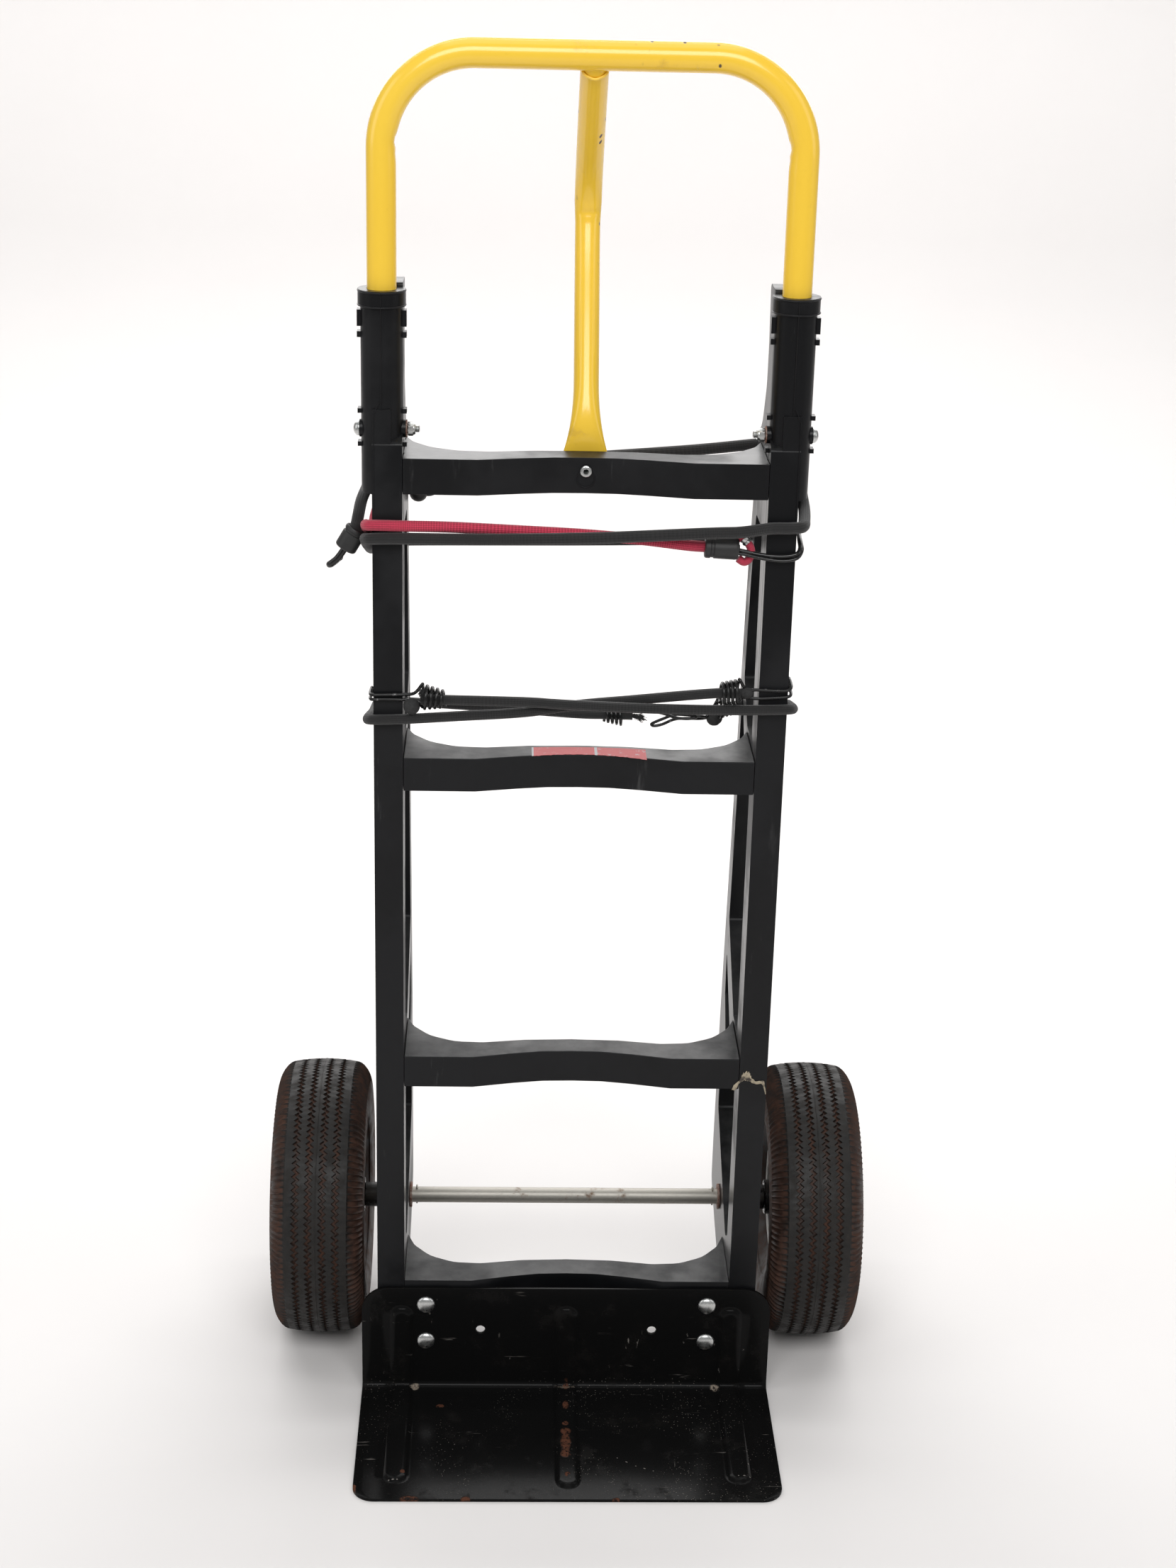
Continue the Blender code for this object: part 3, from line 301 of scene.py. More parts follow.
def tyre_rubber():
    """Aged rubber, brown with dust in the grooves and on the sidewall."""
    look = Finish("tyre_rubber_dusty", 0.7, Specular_IOR_Level=0.34)
    away = look.vector("LENGTH", {0: look.stretched((0, 1, 1))}, "Value")
    across = look.axis("X")
    crown = look.times(look.times(across, across), 2.83)
    height = look.between(look.maths("ADD", away, crown), 0.1362, 0.1377)
    dust = look.patchy(0.3, 0.75, 75, 6, 0.7)
    film = look.patchy(0.3, 0.8, 150, 4)
    low = look.mix(dust, (0.018, 0.011, 0.0085), (0.078, 0.036, 0.023))
    top = look.mix(film, (0.0065, 0.006, 0.0055), (0.019, 0.016, 0.014))
    look.colour(look.mix(height, low, top))
    look.rough(dust, 0.0, 1.0, 0.48, 0.82)
    look.bump(look.noise(500, 3), 0.0001, 0.5)
    return look.material


def two_tone(name, roughness, tones, spots, grain, height, strength):
    """A plain material between two greys, with a fine grain."""
    look = Finish(name, roughness)
    look.colour(look.mix(look.noise(*spots), *map(grey, tones)))
    look.bump(look.noise(*grain), height, strength)
    return look.material


def rim_paint():
    """Pale painted steel, dusty, with specks of rust."""
    look = Finish("rim_paint_pale", 0.4)
    dust = look.patchy(0.45, 0.8, 40, 5)
    rust = look.patchy(0.66, 0.72, 120, 6, 0.7)
    base = look.mix(look.times(dust, 0.6), (0.62, 0.62, 0.6), (0.3, 0.24, 0.18))
    base = look.mix(rust, base, (0.14, 0.055, 0.025))
    look.colour(base)
    look.rough(dust, 0.0, 1.0, 0.35, 0.7)
    look.bump(look.noise(200, 3), 0.00008, 0.5)
    return look.material


def coated_wire():
    """Black vinyl over wire, glossy, with dull rubbed spots."""
    look = Finish("coated_wire_gloss", 0.25)
    rubbed = look.patchy(0.5, 0.75, 110, 4)
    look.colour(look.mix(rubbed, grey(0.008), grey(0.03)))
    look.rough(rubbed, 0.0, 1.0, 0.2, 0.5)
    return look.material


def weave(name, dark, light, length, diameter):
    """A braided sleeve: two families of threads that wind round the cord and cross; the colour is darker in
    the gaps between the threads as painted shade and lighter on their tops as painted sheen.
    """
    look = Finish(name, 0.8, Sheen_Weight=0.25, Sheen_Roughness=0.5)
    uv = look.step("ShaderNodeTexCoord").outputs["UV"]
    along = look.step("ShaderNodeSeparateXYZ", {0: uv}).outputs["X"]
    about = look.step("ShaderNodeSeparateXYZ", {0: uv}).outputs["Y"]
    turns = look.times(along, length / (diameter * 1.1))
    threads = []
    for lean in (1, -1):
        phase = look.maths("ADD", look.times(about, 8), look.times(turns, 4 * lean))
        threads.append(look.maths("SINE", look.times(phase, 2 * pi)))
    braid = look.times(threads[0], threads[1])
    ridge = look.between(braid, -0.9, 0.9)
    fuzz = look.noise(900, 3)
    tone = look.times(ridge, look.between(fuzz, 0.2, 0.8, 0.6, 1.0))
    # painted shade and sheen: the dark tone fills the gaps between the threads and the light tone their
    # tops, following the same ridge as the bump
    look.colour(look.mix(tone, dark, light))
    look.bump(ridge, 0.0004, 0.7)
    look.bump(fuzz, 0.0001, 0.5)
    return look.material


def rusty_steel():
    """Thin zinc eaten by pinkish brown rust."""
    look = Finish("rusty_steel", 0.75, 0.3)
    patch = look.patchy(0.35, 0.65, 160, 6, 0.7)
    base = look.mix(patch, (0.2, 0.085, 0.055), (0.38, 0.3, 0.26))
    look.colour(look.mix(look.patchy(0.4, 0.8, 500, 3), base, (0.07, 0.03, 0.02)))
    look.bump(look.noise(300, 5, 0.7), 0.0003, 0.8)
    return look.material


def raw_nylon():
    """The pale inside of the plastic where it has chipped."""
    look = Finish("raw_nylon_chip", 0.85)
    tone = look.noise(240, 5, 0.7)
    base = look.mix(tone, (0.16, 0.15, 0.13), (0.6, 0.5, 0.34))
    look.colour(look.mix(look.patchy(0.5, 0.62, 90, 4), base, (0.055, 0.045, 0.038)))
    look.bump(look.noise(380, 5, 0.75), 0.0006, 1.0)
    return look.material


def sticker_paper():
    """Faded red sticker in two panels, scuffed along its front edge."""
    look = Finish("sticker_faded", 0.55, Specular_IOR_Level=0.15)
    along = look.axis("X")
    gap = look.between(look.maths("ABSOLUTE", look.maths("SUBTRACT", along, 0.0155)), 0.0011, 0.0014)
    left = look.between(along, -0.0416, -0.0412)
    ink = look.times(gap, left)
    worn = look.patchy(0.56, 0.66, 130, 6, 0.75)
    ink = look.times(ink, look.maths("SUBTRACT", 1.0, look.times(worn, 0.7)))
    fade = look.mix(look.noise(25, 4), (0.4, 0.075, 0.08), (0.52, 0.15, 0.15))
    look.colour(look.mix(ink, (0.42, 0.43, 0.44), fade))
    look.bump(look.noise(400, 3), 0.00005, 0.5)
    return look.material


def steel_paint():
    """Black paint on the hub tubes and spacers, with grease and dust."""
    look = Finish("steel_paint_greasy", 0.35)
    grease = look.patchy(0.4, 0.7, 70, 5)
    look.colour(look.mix(grease, grey(0.007), (0.035, 0.027, 0.02)))
    look.rough(grease, 0.0, 1.0, 0.25, 0.65)
    look.bump(look.noise(220, 4), 0.00012, 0.4)
    return look.material


def hook_wire():
    """Black enamelled spring wire, bright where it is rubbed."""
    look = Finish("hook_wire_enamel", 0.22, 0.35)
    rubbed = look.patchy(0.6, 0.72, 170, 4)
    look.colour(look.mix(rubbed, grey(0.012), grey(0.16)))
    look.rough(look.noise(90, 3), 0.3, 0.7, 0.15, 0.38)
    look.bump(look.noise(500, 2), 0.00004, 0.5)
    return look.material


NYLON = moulded_nylon()
YELLOW = yellow_paint()
TOE_PAINT = toe_paint()
ZINC = zinc("zinc_bright", (0.66, 0.67, 0.66), 0.25, 0.1)
DULL_ZINC = zinc("zinc_weathered", (0.46, 0.44, 0.38), 0.42, 0.55)
BEARING_STEEL = zinc("bearing_steel_ground", (0.52, 0.52, 0.52), 0.28, 0.3)
TYRE = tyre_rubber()
RUBBER = two_tone("butyl_rubber", 0.6, (0.01, 0.03), (60, 5), (400, 3), 0.0001, 0.4)
RIM = rim_paint()
HOOK_PLASTIC = two_tone("hook_plastic_matt", 0.5, (0.01, 0.024), (90, 4), (700, 2), 0.00008, 0.5)
COATED_WIRE = coated_wire()
HOOK_WIRE = hook_wire()
KNOT_WEAVE = two_tone("cord_end_fuzz", 0.85, (0.006, 0.04), (420, 4), (700, 4, 0.7), 0.0004, 0.8)
RUSTY = rusty_steel()
STEEL_PAINT = steel_paint()
AXLE_ZINC = zinc("zinc_axle", (0.43, 0.41, 0.37), 0.44, 0.22, 0.75)

SLOT_LOOKS = {
    "nylon": NYLON, "yellow_paint": YELLOW, "black_paint": TOE_PAINT, "zinc": ZINC, "dull_zinc": DULL_ZINC,
    "tyre": TYRE, "tube_rubber": RUBBER, "rim_paint": RIM, "bearing_steel": BEARING_STEEL,
    "hook_plastic": HOOK_PLASTIC, "hook_wire": HOOK_WIRE, "red_weave": RUBBER, "black_weave": RUBBER,
}


# ---- helpers

def wear(obj, look):
    """Give an object one material."""
    obj.data.materials.clear()
    obj.data.materials.append(look)
    return obj


def stand(name, data, place=None):
    """A new object in the scene, at its origin or at a place."""
    obj = bpy.data.objects.new(name, data)
    bpy.context.scene.collection.objects.link(obj)
    if place:
        obj.matrix_world = place
    return obj


def piece(name, data, look, node=None, place=None, body="base"):
    """A finished piece that rides on a body and may stand for a CAD node."""
    obj = stand(name, data, place)
    wear(obj, look)
    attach(obj, body)
    if node:
        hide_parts(node)
    return obj


def smooth(knots, share=8):
    """Points on the smooth curve through a route's knots."""
    knots = [Vector(knot) for knot in knots]
    padded = [2 * knots[0] - knots[1], *knots, 2 * knots[-1] - knots[-2]]
    points = []
    for a, b, c, d in zip(padded, padded[1:], padded[2:], padded[3:]):
        for k in range(share):
            t = k / share
            near = 2 * b + (c - a) * t
            bend = (2 * a - 5 * b + 4 * c - d) * t * t + (3 * b - a - 3 * c + d) * t ** 3
            points.append((near + bend) / 2)
    points.append(knots[-1])
    return points


def rods(name, radius, sides, *runs):
    """Round rods as one curve, each through a run of points and closed at both ends."""
    curve = bpy.data.curves.new(name, "CURVE")
    curve.dimensions = "3D"
    curve.bevel_depth = radius
    curve.bevel_resolution = sides
    curve.use_fill_caps = True
    for points in runs:
        spline = curve.splines.new("POLY")
        spline.points.add(len(points) - 1)
        for knot, point in zip(spline.points, points):
            knot.co = (*point, 1)
        spline.use_smooth = True
    return curve


def sheet(name, rows):
    """A mesh over rows of points, open at its edges."""
    width = len(rows[0])
    faces = []
    for i in range(len(rows) - 1):
        for k in range(width - 1):
            low = i * width + k
            faces.append((low, low + width, low + width + 1, low + 1))
    mesh = bpy.data.meshes.new(name)
    mesh.from_pydata([tuple(point) for row in rows for point in row], [], faces)
    return mesh


def soften(obj, width, angle, harden=False):
    """Round the edges that are sharper than an angle."""
    edges = obj.modifiers.new("edges", "BEVEL")
    edges.width = width
    edges.segments = 2
    edges.limit_method = "ANGLE"
    edges.angle_limit = radians(angle)
    edges.harden_normals = harden


def thicken(obj, thickness, offset):
    """Give a sheet its thickness."""
    solid = obj.modifiers.new("sheet", "SOLIDIFY")
    solid.thickness = thickness
    solid.offset = offset


def length_of(points):
    """The length of a run of points."""
    return sum((b - a).length for a, b in zip(points, points[1:]))


# ---- shapes

def skin(name, rings, closed=False, sharp=35):
    """A mesh over a row of rings with equal numbers of points; closed joins the last to the first."""
    count = len(rings[0])
    points = [tuple(point) for ring in rings for point in ring]
    faces = []
    for i in range(len(rings) if closed else len(rings) - 1):
        low = i * count
        high = (i + 1) % len(rings) * count
        for k in range(count):
            after = (k + 1) % count
            faces.append((low + k, low + after, high + after, high + k))
    if not closed:
        faces.append(tuple(range(count)))
        faces.append(tuple(range(len(points) - count, len(points))))
    mesh = bpy.data.meshes.new(name)
    mesh.from_pydata(points, [], faces)
    shell = bmesh.new()
    shell.from_mesh(mesh)
    bmesh.ops.recalc_face_normals(shell, faces=shell.faces)
    shell.to_mesh(mesh)
    shell.free()
    mesh.shade_smooth()
    mesh.set_sharp_from_angle(angle=radians(sharp))
    return mesh


def around(points, angle):
    """Points given as (x, radius), turned by an angle about the X axis."""
    return [(x, r * cos(angle), r * sin(angle)) for x, r in points]


def mirrored(outline):
    """An outline followed by its mirror image about x = 0, in reverse."""
    return outline + [(-x, r) for x, r in reversed(outline)]


def spun(name, outline, steps=32, sharp=35):
    """A solid of (x, radius) points turned about the X axis."""
    turns = [2 * pi * k / steps for k in range(steps)]
    return skin(name, [[(x, r * cos(a), r * sin(a)) for a in turns] for x, r in outline], sharp=sharp)


def ringed(name, profile, steps=64, sharp=35, lift=None):
    """A hollow ring of closed (x, radius) points turned about the X axis."""
    rings = []
    for k in range(steps):
        angle = 2 * pi * k / steps
        rings.append(around([lift(x, r, angle) for x, r in profile] if lift else profile, angle))
    return skin(name, rings, closed=True, sharp=sharp)


def hexagon(name, flats, low, high, bore):
    """A hexagon nut along the X axis with chamfered corners and a threaded bore."""
    across = flats / sqrt(3)
    chamfer = 0.12 * (high - low)
    profile = [
        (low, 0.86 * across), (low + chamfer, across), (high - chamfer, across), (high, 0.86 * across),
    ]
    for k in range(7):
        x = high + (low - high) * k / 6
        profile.append((x, bore + (0.00025 if k % 2 else 0.0)))

    def faceted(x, r, angle):
        flat = 0.5 * flats / cos((angle + pi / 6) % (pi / 3) - pi / 6)
        return x, min(r, flat) if r > 1.3 * bore else r

    return ringed(name, profile, 72, 30, faceted)


def aimed(place, direction):
    """The matrix that turns the X axis along a direction and moves to a place."""
    turn = Vector(direction).to_track_quat("X", "Z").to_matrix().to_4x4()
    return Matrix.Translation(Vector(place)) @ turn


def swept(name, path, across, section, steps):
    """A skin along a path; section(point, angle) gives its half width and half height."""
    rings = []
    for i, point in enumerate(path):
        ahead = (path[min(i + 1, len(path) - 1)] - path[max(i - 1, 0)]).normalized()
        out = ahead.cross(across).normalized()
        ring = []
        for k in range(steps):
            angle = 2 * pi * k / steps
            wide, thick = section(point, angle)
            ring.append(point + across * wide * cos(angle) + out * thick * sin(angle))
        rings.append(ring)
    return skin(name, rings)


# ---- frame

LIP, RECESS = 0.0008, 0.0077
COLLAR_FOOT, COLLAR_TOP = 1.0712, 1.0834
LABEL_START, LABEL_LENGTH, LABEL_Z = -0.0431, 0.1042, 0.66672


def moulded(node, edge):
    """The CAD node's own shape with its hard edges rounded, as moulded plastic has them."""
    data = NODES[node].data.copy()
    if "custom_normal" in data.attributes:
        data.attributes.remove(data.attributes["custom_normal"])
    shell = bmesh.new()
    shell.from_mesh(data)
    bmesh.ops.remove_doubles(shell, verts=shell.verts, dist=1e-5)
    bmesh.ops.dissolve_limit(
        shell, angle_limit=radians(0.6), verts=shell.verts, edges=shell.edges,
        use_dissolve_boundaries=False,
    )
    shell.to_mesh(data)
    shell.free()
    data.shade_smooth()
    data.set_sharp_from_angle(angle=radians(30))
    soften(piece(node + "_moulded", data, NYLON, node), edge, 40, True)


def frame_details():
    """Mould seams and lips on the sockets, the web's outline, and the ring round the grip bolt."""
    collar = HANDLE_Y - 0.0207
    wall = HANDLE_Y - 0.0184
    lip = [(LIP * cos(0.8 * k), 0.0203 + LIP * sin(0.8 * k)) for k in range(8)]
    for side, sign in SIDES:
        x = sign * HANDLE_X
        seam = [(x, wall, 0.984), (x, wall, 1.07), (x, collar, COLLAR_FOOT), (x, collar, 1.0838)]
        web = [(x, wall + 0.0002, 0.9915), (x + sign * 0.0022, wall + 0.0002, 0.99),
               (sign * 0.184, 0.0001, 0.979), (sign * 0.1842, 0.0, 0.896)]
        runs = [[at(*place) for place in line] for line in (seam, web)]
        piece("socket_seams_" + side, rods("seams", 0.0004, 2, *runs), NYLON)
        for name, z in (("socket_lip_top_", COLLAR_TOP), ("socket_lip_foot_", COLLAR_FOOT)):
            place = aimed(at(x, HANDLE_Y, z), UP)
            piece(name + side, ringed("socket_lip", lip, 72, 60), NYLON, place=place)
    ring = []
    for k in range(41):
        x = RECESS * cos(2 * pi * k / 40)
        ring.append(at(x, 0.0145 - 4.2 * x ** 2, 0.9235 + RECESS * sin(2 * pi * k / 40)))
    piece("grip_bolt_recess", rods("recess", 0.0005, 2, ring), NYLON)


def label_sheet():
    """A worn two-panel sticker, without any text, on the second rung."""
    rows = []
    for k in range(49):
        x = LABEL_START + LABEL_LENGTH * k / 48
        front = 0.0155 - 3.2 * x * x + 0.0007 * sin(900 * x) * sin(311 * x)
        back = 0.035 - 1.2 * x * x
        rows.append([at(x, front + (back - front) * m / 4, LABEL_Z) for m in range(5)])
    sticker = piece("crossbar_label", sheet("label", rows), sticker_paper())
    thicken(sticker, 0.00018, 1)


def rail_chip():
    """Pale chipped plastic along a crack where the third rung meets the right rail."""
    rng = random.Random(7)
    spine = [(0.1533, 0.3364), (0.158, 0.3395), (0.1612, 0.3462), (0.1666, 0.3484), (0.1703, 0.345),
             (0.1751, 0.3418), (0.1817, 0.3422), (0.1838, 0.336), (0.1852, 0.3298)]
    widths = (0.003, 0.0046, 0.0056, 0.0042, 0.002, 0.0013, 0.0018, 0.0014, 0.0007)
    knots = smooth([(x, 0, z) for x, z in spine], 5)
    rings = []
    for i, knot in enumerate(knots):
        t = i / (len(knots) - 1) * (len(widths) - 1)
        low = min(int(t), len(widths) - 2)
        wide = widths[low] + (widths[low + 1] - widths[low]) * (t - low)
        wide *= 0.8 + 0.5 * rng.random()
        ring = []
        for k in range(8):
            a = 2 * pi * k / 8
            lump = 0.85 + 0.3 * rng.random()
            ring.append(at(knot.x + 0.3 * wide * cos(a), 0.0002 - 0.0006 * lump * max(0, sin(a)),
                           knot.z + wide * lump * cos(a)))
        rings.append(ring)
    piece("rail_chip", skin("chip", rings, sharp=50), raw_nylon())


# ---- handle

HANDLE_X, HANDLE_Y = 0.1771, 0.02
HANDLE_TOP, HANDLE_BEND, HANDLE_FOOT = 1.2793, 0.078, 0.94
TUBE_RADIUS, GRIP_RADIUS = 0.0127, 0.0112
# heights of the dents below the handle's bends and of the pinch in the grip
DENT_Z, PINCH_Z = 1.205, 1.137
GRIP_ROUTE = (
    (0.0445, 0.906), (0.0445, 0.93), (0.045, 0.95), (0.05, 0.97), (0.063, 0.998),
    (0.085, 1.04), (0.113, 1.092), (0.1245, 1.117), (0.129, 1.137), (0.1255, 1.156),
    (0.112, 1.18), (0.085, 1.212), (0.05, 1.25), (0.025, 1.276),
)


def handle_tube():
    """The bent tube, dented by the bending tool on its inner side below each bend."""
    bend_x = HANDLE_X - HANDLE_BEND
    bend_z = HANDLE_TOP - HANDLE_BEND
    leg = [(HANDLE_X, HANDLE_FOOT + (bend_z - HANDLE_FOOT) * k / 60) for k in range(60)]
    arcs = []
    for sign, first in ((1, 0.0), (-1, pi / 2)):
        for k in range(25):
            a = first + pi / 2 * k / 24
            arcs.append((sign * bend_x + HANDLE_BEND * cos(a), bend_z + HANDLE_BEND * sin(a)))
    path = [at(x, HANDLE_Y, z) for x, z in leg + arcs + [(-x, z) for x, z in reversed(leg)]]

    def section(point, angle):
        near = exp(-((point.z - DENT_Z) / 0.0085) ** 2)
        ripple = 1 + 0.7 * cos((point.z - DENT_Z) * 950)
        radius = TUBE_RADIUS - 0.0014 * near * ripple * max(0, sin(angle)) ** 3
        return radius, radius

    tube = swept("handle_tube", path, BACK, section, 56)
    piece("handle_tube", tube, YELLOW, "handle_loop")


def centre_brace():
    """The grip tube, pinched where it bends back and pressed flat into a flared foot."""
    path = smooth([at(0, y, z) for y, z in GRIP_ROUTE], 10)

    def section(point, angle):
        flat = max(0.0, min(1.0, (1.0 - point.z) / 0.06)) ** 2.2
        pinch = exp(-((point.z - PINCH_Z) / 0.0035) ** 2)
        upper = max(0.0, min(1.0, (point.z - 1.128) / 0.018))
        wide = GRIP_RADIUS + 0.0084 * flat + 0.0009 * upper
        thick = GRIP_RADIUS - 0.0077 * flat + 0.0009 * upper
        round_off = -0.35 * flat
        wide *= max(abs(cos(angle)), 1e-3) ** round_off
        thick *= max(abs(sin(angle)), 1e-3) ** round_off
        if sin(angle) < 0:
            thick -= 0.0009 * pinch * sin(angle) ** 2
        return wide, thick

    tube = swept("centre_brace", path, ALONG, section, 48)
    piece("centre_brace", tube, YELLOW, "centre_grip")
    along = Vector((0, 0.72, -0.69)).normalized()
    out = along.cross(ALONG)
    bead = []
    for k in range(49):
        a = 2 * pi * k / 48
        wave = 0.0003 * sin(9 * a)
        saddle = 0.004 * cos(a) ** 2
        centre = at(0, 0.031, 1.269) - along * saddle
        bead.append(centre + ALONG * (TUBE_RADIUS + wave) * cos(a) + out * (TUBE_RADIUS + wave) * sin(a))
    piece("brace_weld", rods("weld", 0.0013, 3, bead), YELLOW)


# ---- fasteners

HANDLE_BOLT_Z, GRIP_BOLT_Z = 0.964, 0.9305
TOE_BOLT_X = 0.1382


def thread(start, end, radius, pitch=0.0011):
    """Outline points of a thread between two stations."""
    count = int(abs(end - start) / pitch * 2)
    steps = range(count + 1)
    return [(start + (end - start) * k / count, radius * (1.0 if k % 2 else 0.86)) for k in steps]


def domed_bolt(name, node, start, direction, shank, length, head, crown):
    """A domed bolt with a threaded end; the underside of its head is at start."""
    outline = [(-crown, 0.0002)]
    for k in range(1, 9):
        a = pi / 2 * k / 8
        outline.append((-crown * cos(a), head * sin(a) ** 0.9))
    outline += [(0.0, head * 0.985), (0.0, shank), (0.35 * length, shank)]
    outline += thread(0.36 * length, length - 0.0006, shank)
    outline.append((length, shank * 0.7))
    piece(name, spun(name, outline, 36), ZINC, node, aimed(start, direction))


def lock_nut(name, node, centre, direction, flats, height, bore):
    """A lock nut: its hexagon, and its round collar with the ring inside."""
    place = aimed(centre, direction)
    piece(name, hexagon(name, flats, -height / 2, height * 0.28, bore), ZINC, node, place)
    outer = flats * 0.47
    collar = [(height * 0.27, outer), (height * 0.42, outer * 0.98), (height * 0.56, outer * 0.86),
              (height * 0.6, bore * 1.25), (height * 0.52, bore * 1.05), (height * 0.27, bore * 1.02)]
    piece(name + "_collar", ringed(name + "_collar", collar, 40, 50), ZINC, place=place)


def flat_washer(name, node, centre, direction, bore, radius, thick, look):
    """A flat washer with softened edges."""
    half = thick / 2
    soft = min(0.0004, half * 0.6)
    profile = [(half - soft, bore), (half, bore + soft), (half, radius - soft), (half - soft, radius)]
    piece(name, ringed(name, mirrored(profile), 48, 40), look, node, aimed(centre, direction))


def fasteners():
    """Handle bolts, the grip bolt and the toe plate's carriage bolts."""
    for side, sign in SIDES:
        inward = (-sign, 0, 0)
        start, nut, washer = (at(sign * x, HANDLE_Y, HANDLE_BOLT_Z) for x in (0.1972, 0.152, 0.1561))
        domed_bolt("pivot_bolt_" + side, "handle_bolt_" + side, start, inward,
                   0.0031, 0.0525, 0.0068, 0.005)
        lock_nut("pivot_nut_" + side, "handle_nut_" + side, nut, inward, 0.0111, 0.0062, 0.0032)
        flat_washer("pivot_washer_" + side, None, washer, inward, 0.0034, 0.0078, 0.0012,
                    RUSTY)
        for level, z in (("upper", 0.0969), ("lower", 0.0557)):
            name = side + "_" + level
            start, nut = (at(sign * TOE_BOLT_X, y, z) for y in (-0.0036, 0.0312))
            domed_bolt("plate_bolt_" + name, "toe_bolt_" + name, start, BACK, 0.0039, 0.0405, 0.009, 0.0042)
            lock_nut("plate_nut_" + name, "toe_nut_" + name, nut, BACK, 0.0127, 0.0068, 0.004)
    head = tenths((-34, 24), (-34, 32), (-34, 40), (-29, 49), (-18, 52), (0, 52), (0, 30), (360, 30),
                  (370, 22), (370, 8), (112, 8), (104, 24))
    place = aimed(at(0, 0.0142, GRIP_BOLT_Z), BACK)
    piece("brace_bolt", ringed("brace_bolt", head, 40, 30), ZINC, "grip_bolt", place)
    lock_nut("brace_nut", "grip_nut", at(0, 0.051, GRIP_BOLT_Z), BACK, 0.0111, 0.0054, 0.0032)


# ---- toe plate

TOE_HALF_WIDTH, TOE_LENGTH, TOE_HEIGHT = 0.2011, 0.1847, 0.115
TOE_SHEET, TOE_BEND, TOE_GAP = 0.003, 0.008, 0.0003
RIB_HEIGHT, RIB_START, RIB_EDGE, RIB_SLOPE = 0.003, 0.0325, 0.0118, 0.0046
SPARE_HOLE_X, SPARE_HOLE_Z = 0.0845, 0.0683


def toe_half(reach, length):
    """Half the plate's width at a distance along the sheet, with its rounded corners."""
    for distance, radius in ((reach, 0.026), (length - reach, 0.02)):
        if distance < radius:
            return TOE_HALF_WIDTH - radius + sqrt(max(radius ** 2 - (radius - distance) ** 2, 0))
    return TOE_HALF_WIDTH


def toe_spot(reach, flange, arc):
    """The sheet's middle line at a distance from its top edge: y, z and the outward direction."""
    back = -TOE_SHEET / 2 - TOE_GAP
    low = TOE_SHEET / 2
    if reach < flange:
        return back, TOE_HEIGHT - reach, -1.0, 0.0
    if reach < flange + arc:
        a = (reach - flange) / TOE_BEND
        y = back - TOE_BEND * (1 - cos(a))
        return y, low + TOE_BEND * (1 - sin(a)), -cos(a), sin(a)
    return back - TOE_BEND - (reach - flange - arc), low, 0.0, 1.0


def swage(x, reach, length):
    """Height of the three pressed ribs at a point of the sheet."""
    height = 0.0
    for centre, stop in ((-0.162, 0.036), (0.0, 0.028), (0.162, 0.036)):
        along = max(RIB_START - reach, reach - (length - stop), 0.0)
        away = hypot(x - centre, along)
        t = max(0.0, min(1.0, (RIB_EDGE - away) / RIB_SLOPE))
        height = max(height, RIB_HEIGHT * t * t * (3 - 2 * t))
    return height


def toe_sheet():
    """The bent steel sheet with its pressed ribs, two spare holes and softened edges."""
    flange = TOE_HEIGHT - TOE_SHEET / 2 - TOE_BEND
    arc = pi / 2 * TOE_BEND
    length = flange + arc + TOE_LENGTH - TOE_SHEET / 2 - TOE_GAP - TOE_BEND
    reaches = [0.0, 0.0004, 0.0012, 0.0026, 0.0045]
    reaches += [0.0045 + (length - 0.009) * k / 150 for k in range(1, 151)]
    reaches += [length - 0.0026, length - 0.0012, length - 0.0004, length]
    rows = []
    for reach in reaches:
        y, z, out_y, out_z = toe_spot(reach, flange, arc)
        half = toe_half(reach, length)
        row = []
        for k in range(-104, 105):
            x = 0.00172 * k if abs(k) <= 101 else copysign(0.1738 + (half - 0.1738) * (abs(k) - 101) / 3, k)
            lift = swage(x, reach, length)
            row.append(at(x, y + out_y * lift, z + out_z * lift))
        rows.append(row)
    mesh = sheet("toe_sheet", rows)
    mesh.shade_smooth()
    plate = piece("toe_sheet", mesh, TOE_PAINT, "toe_plate")
    thicken(plate, TOE_SHEET, 0)
    soften(plate, 0.0007, 60)
    for sign in (-1, 1):
        drill = spun("spare_hole", tenths((-200, 45), (200, 45)), 32)
        cut_out(plate, stand("spare_hole", drill, aimed(at(sign * SPARE_HOLE_X, 0, SPARE_HOLE_Z), BACK)))


def cut_out(target, drill):
    """Cut a shape out of a finished piece, leaving no helper behind."""
    step = target.modifiers.new("hole", "BOOLEAN")
    step.operation = "DIFFERENCE"
    step.solver = "EXACT"
    step.object = drill
    bpy.context.view_layer.update()
    graph = bpy.context.evaluated_depsgraph_get()
    cut = bpy.data.meshes.new_from_object(target.evaluated_get(graph))
    target.modifiers.clear()
    target.data = cut
    bpy.data.objects.remove(drill)


# ---- wheels

TEETH = 132
STEPS_PER_TOOTH = 8
TYRE_RADIUS = 0.1383
TREAD_EDGE, TREAD_RIM = 0.0303, 0.0262
GROOVE_DEPTH, ZIGZAG, FIN = 0.0029, 0.0019, 0.003
GROOVES = (-0.0196, -0.0068, 0.0068, 0.0196)
WHEEL_X = 0.2468
RIM_BOLT_CIRCLE = 0.036
AXLE_RADIUS, AXLE_HALF = 0.00795, 0.2905
# the rail's inner side and the spacer's inner end, and the hub's two ends from the wheel's middle
RAIL_INNER, SPACER_INNER, HUB_OUTER, HUB_INNER = 0.1594, 0.1859, 0.0355, 0.0418
BORE = 0.0083
EYE = 0.0024


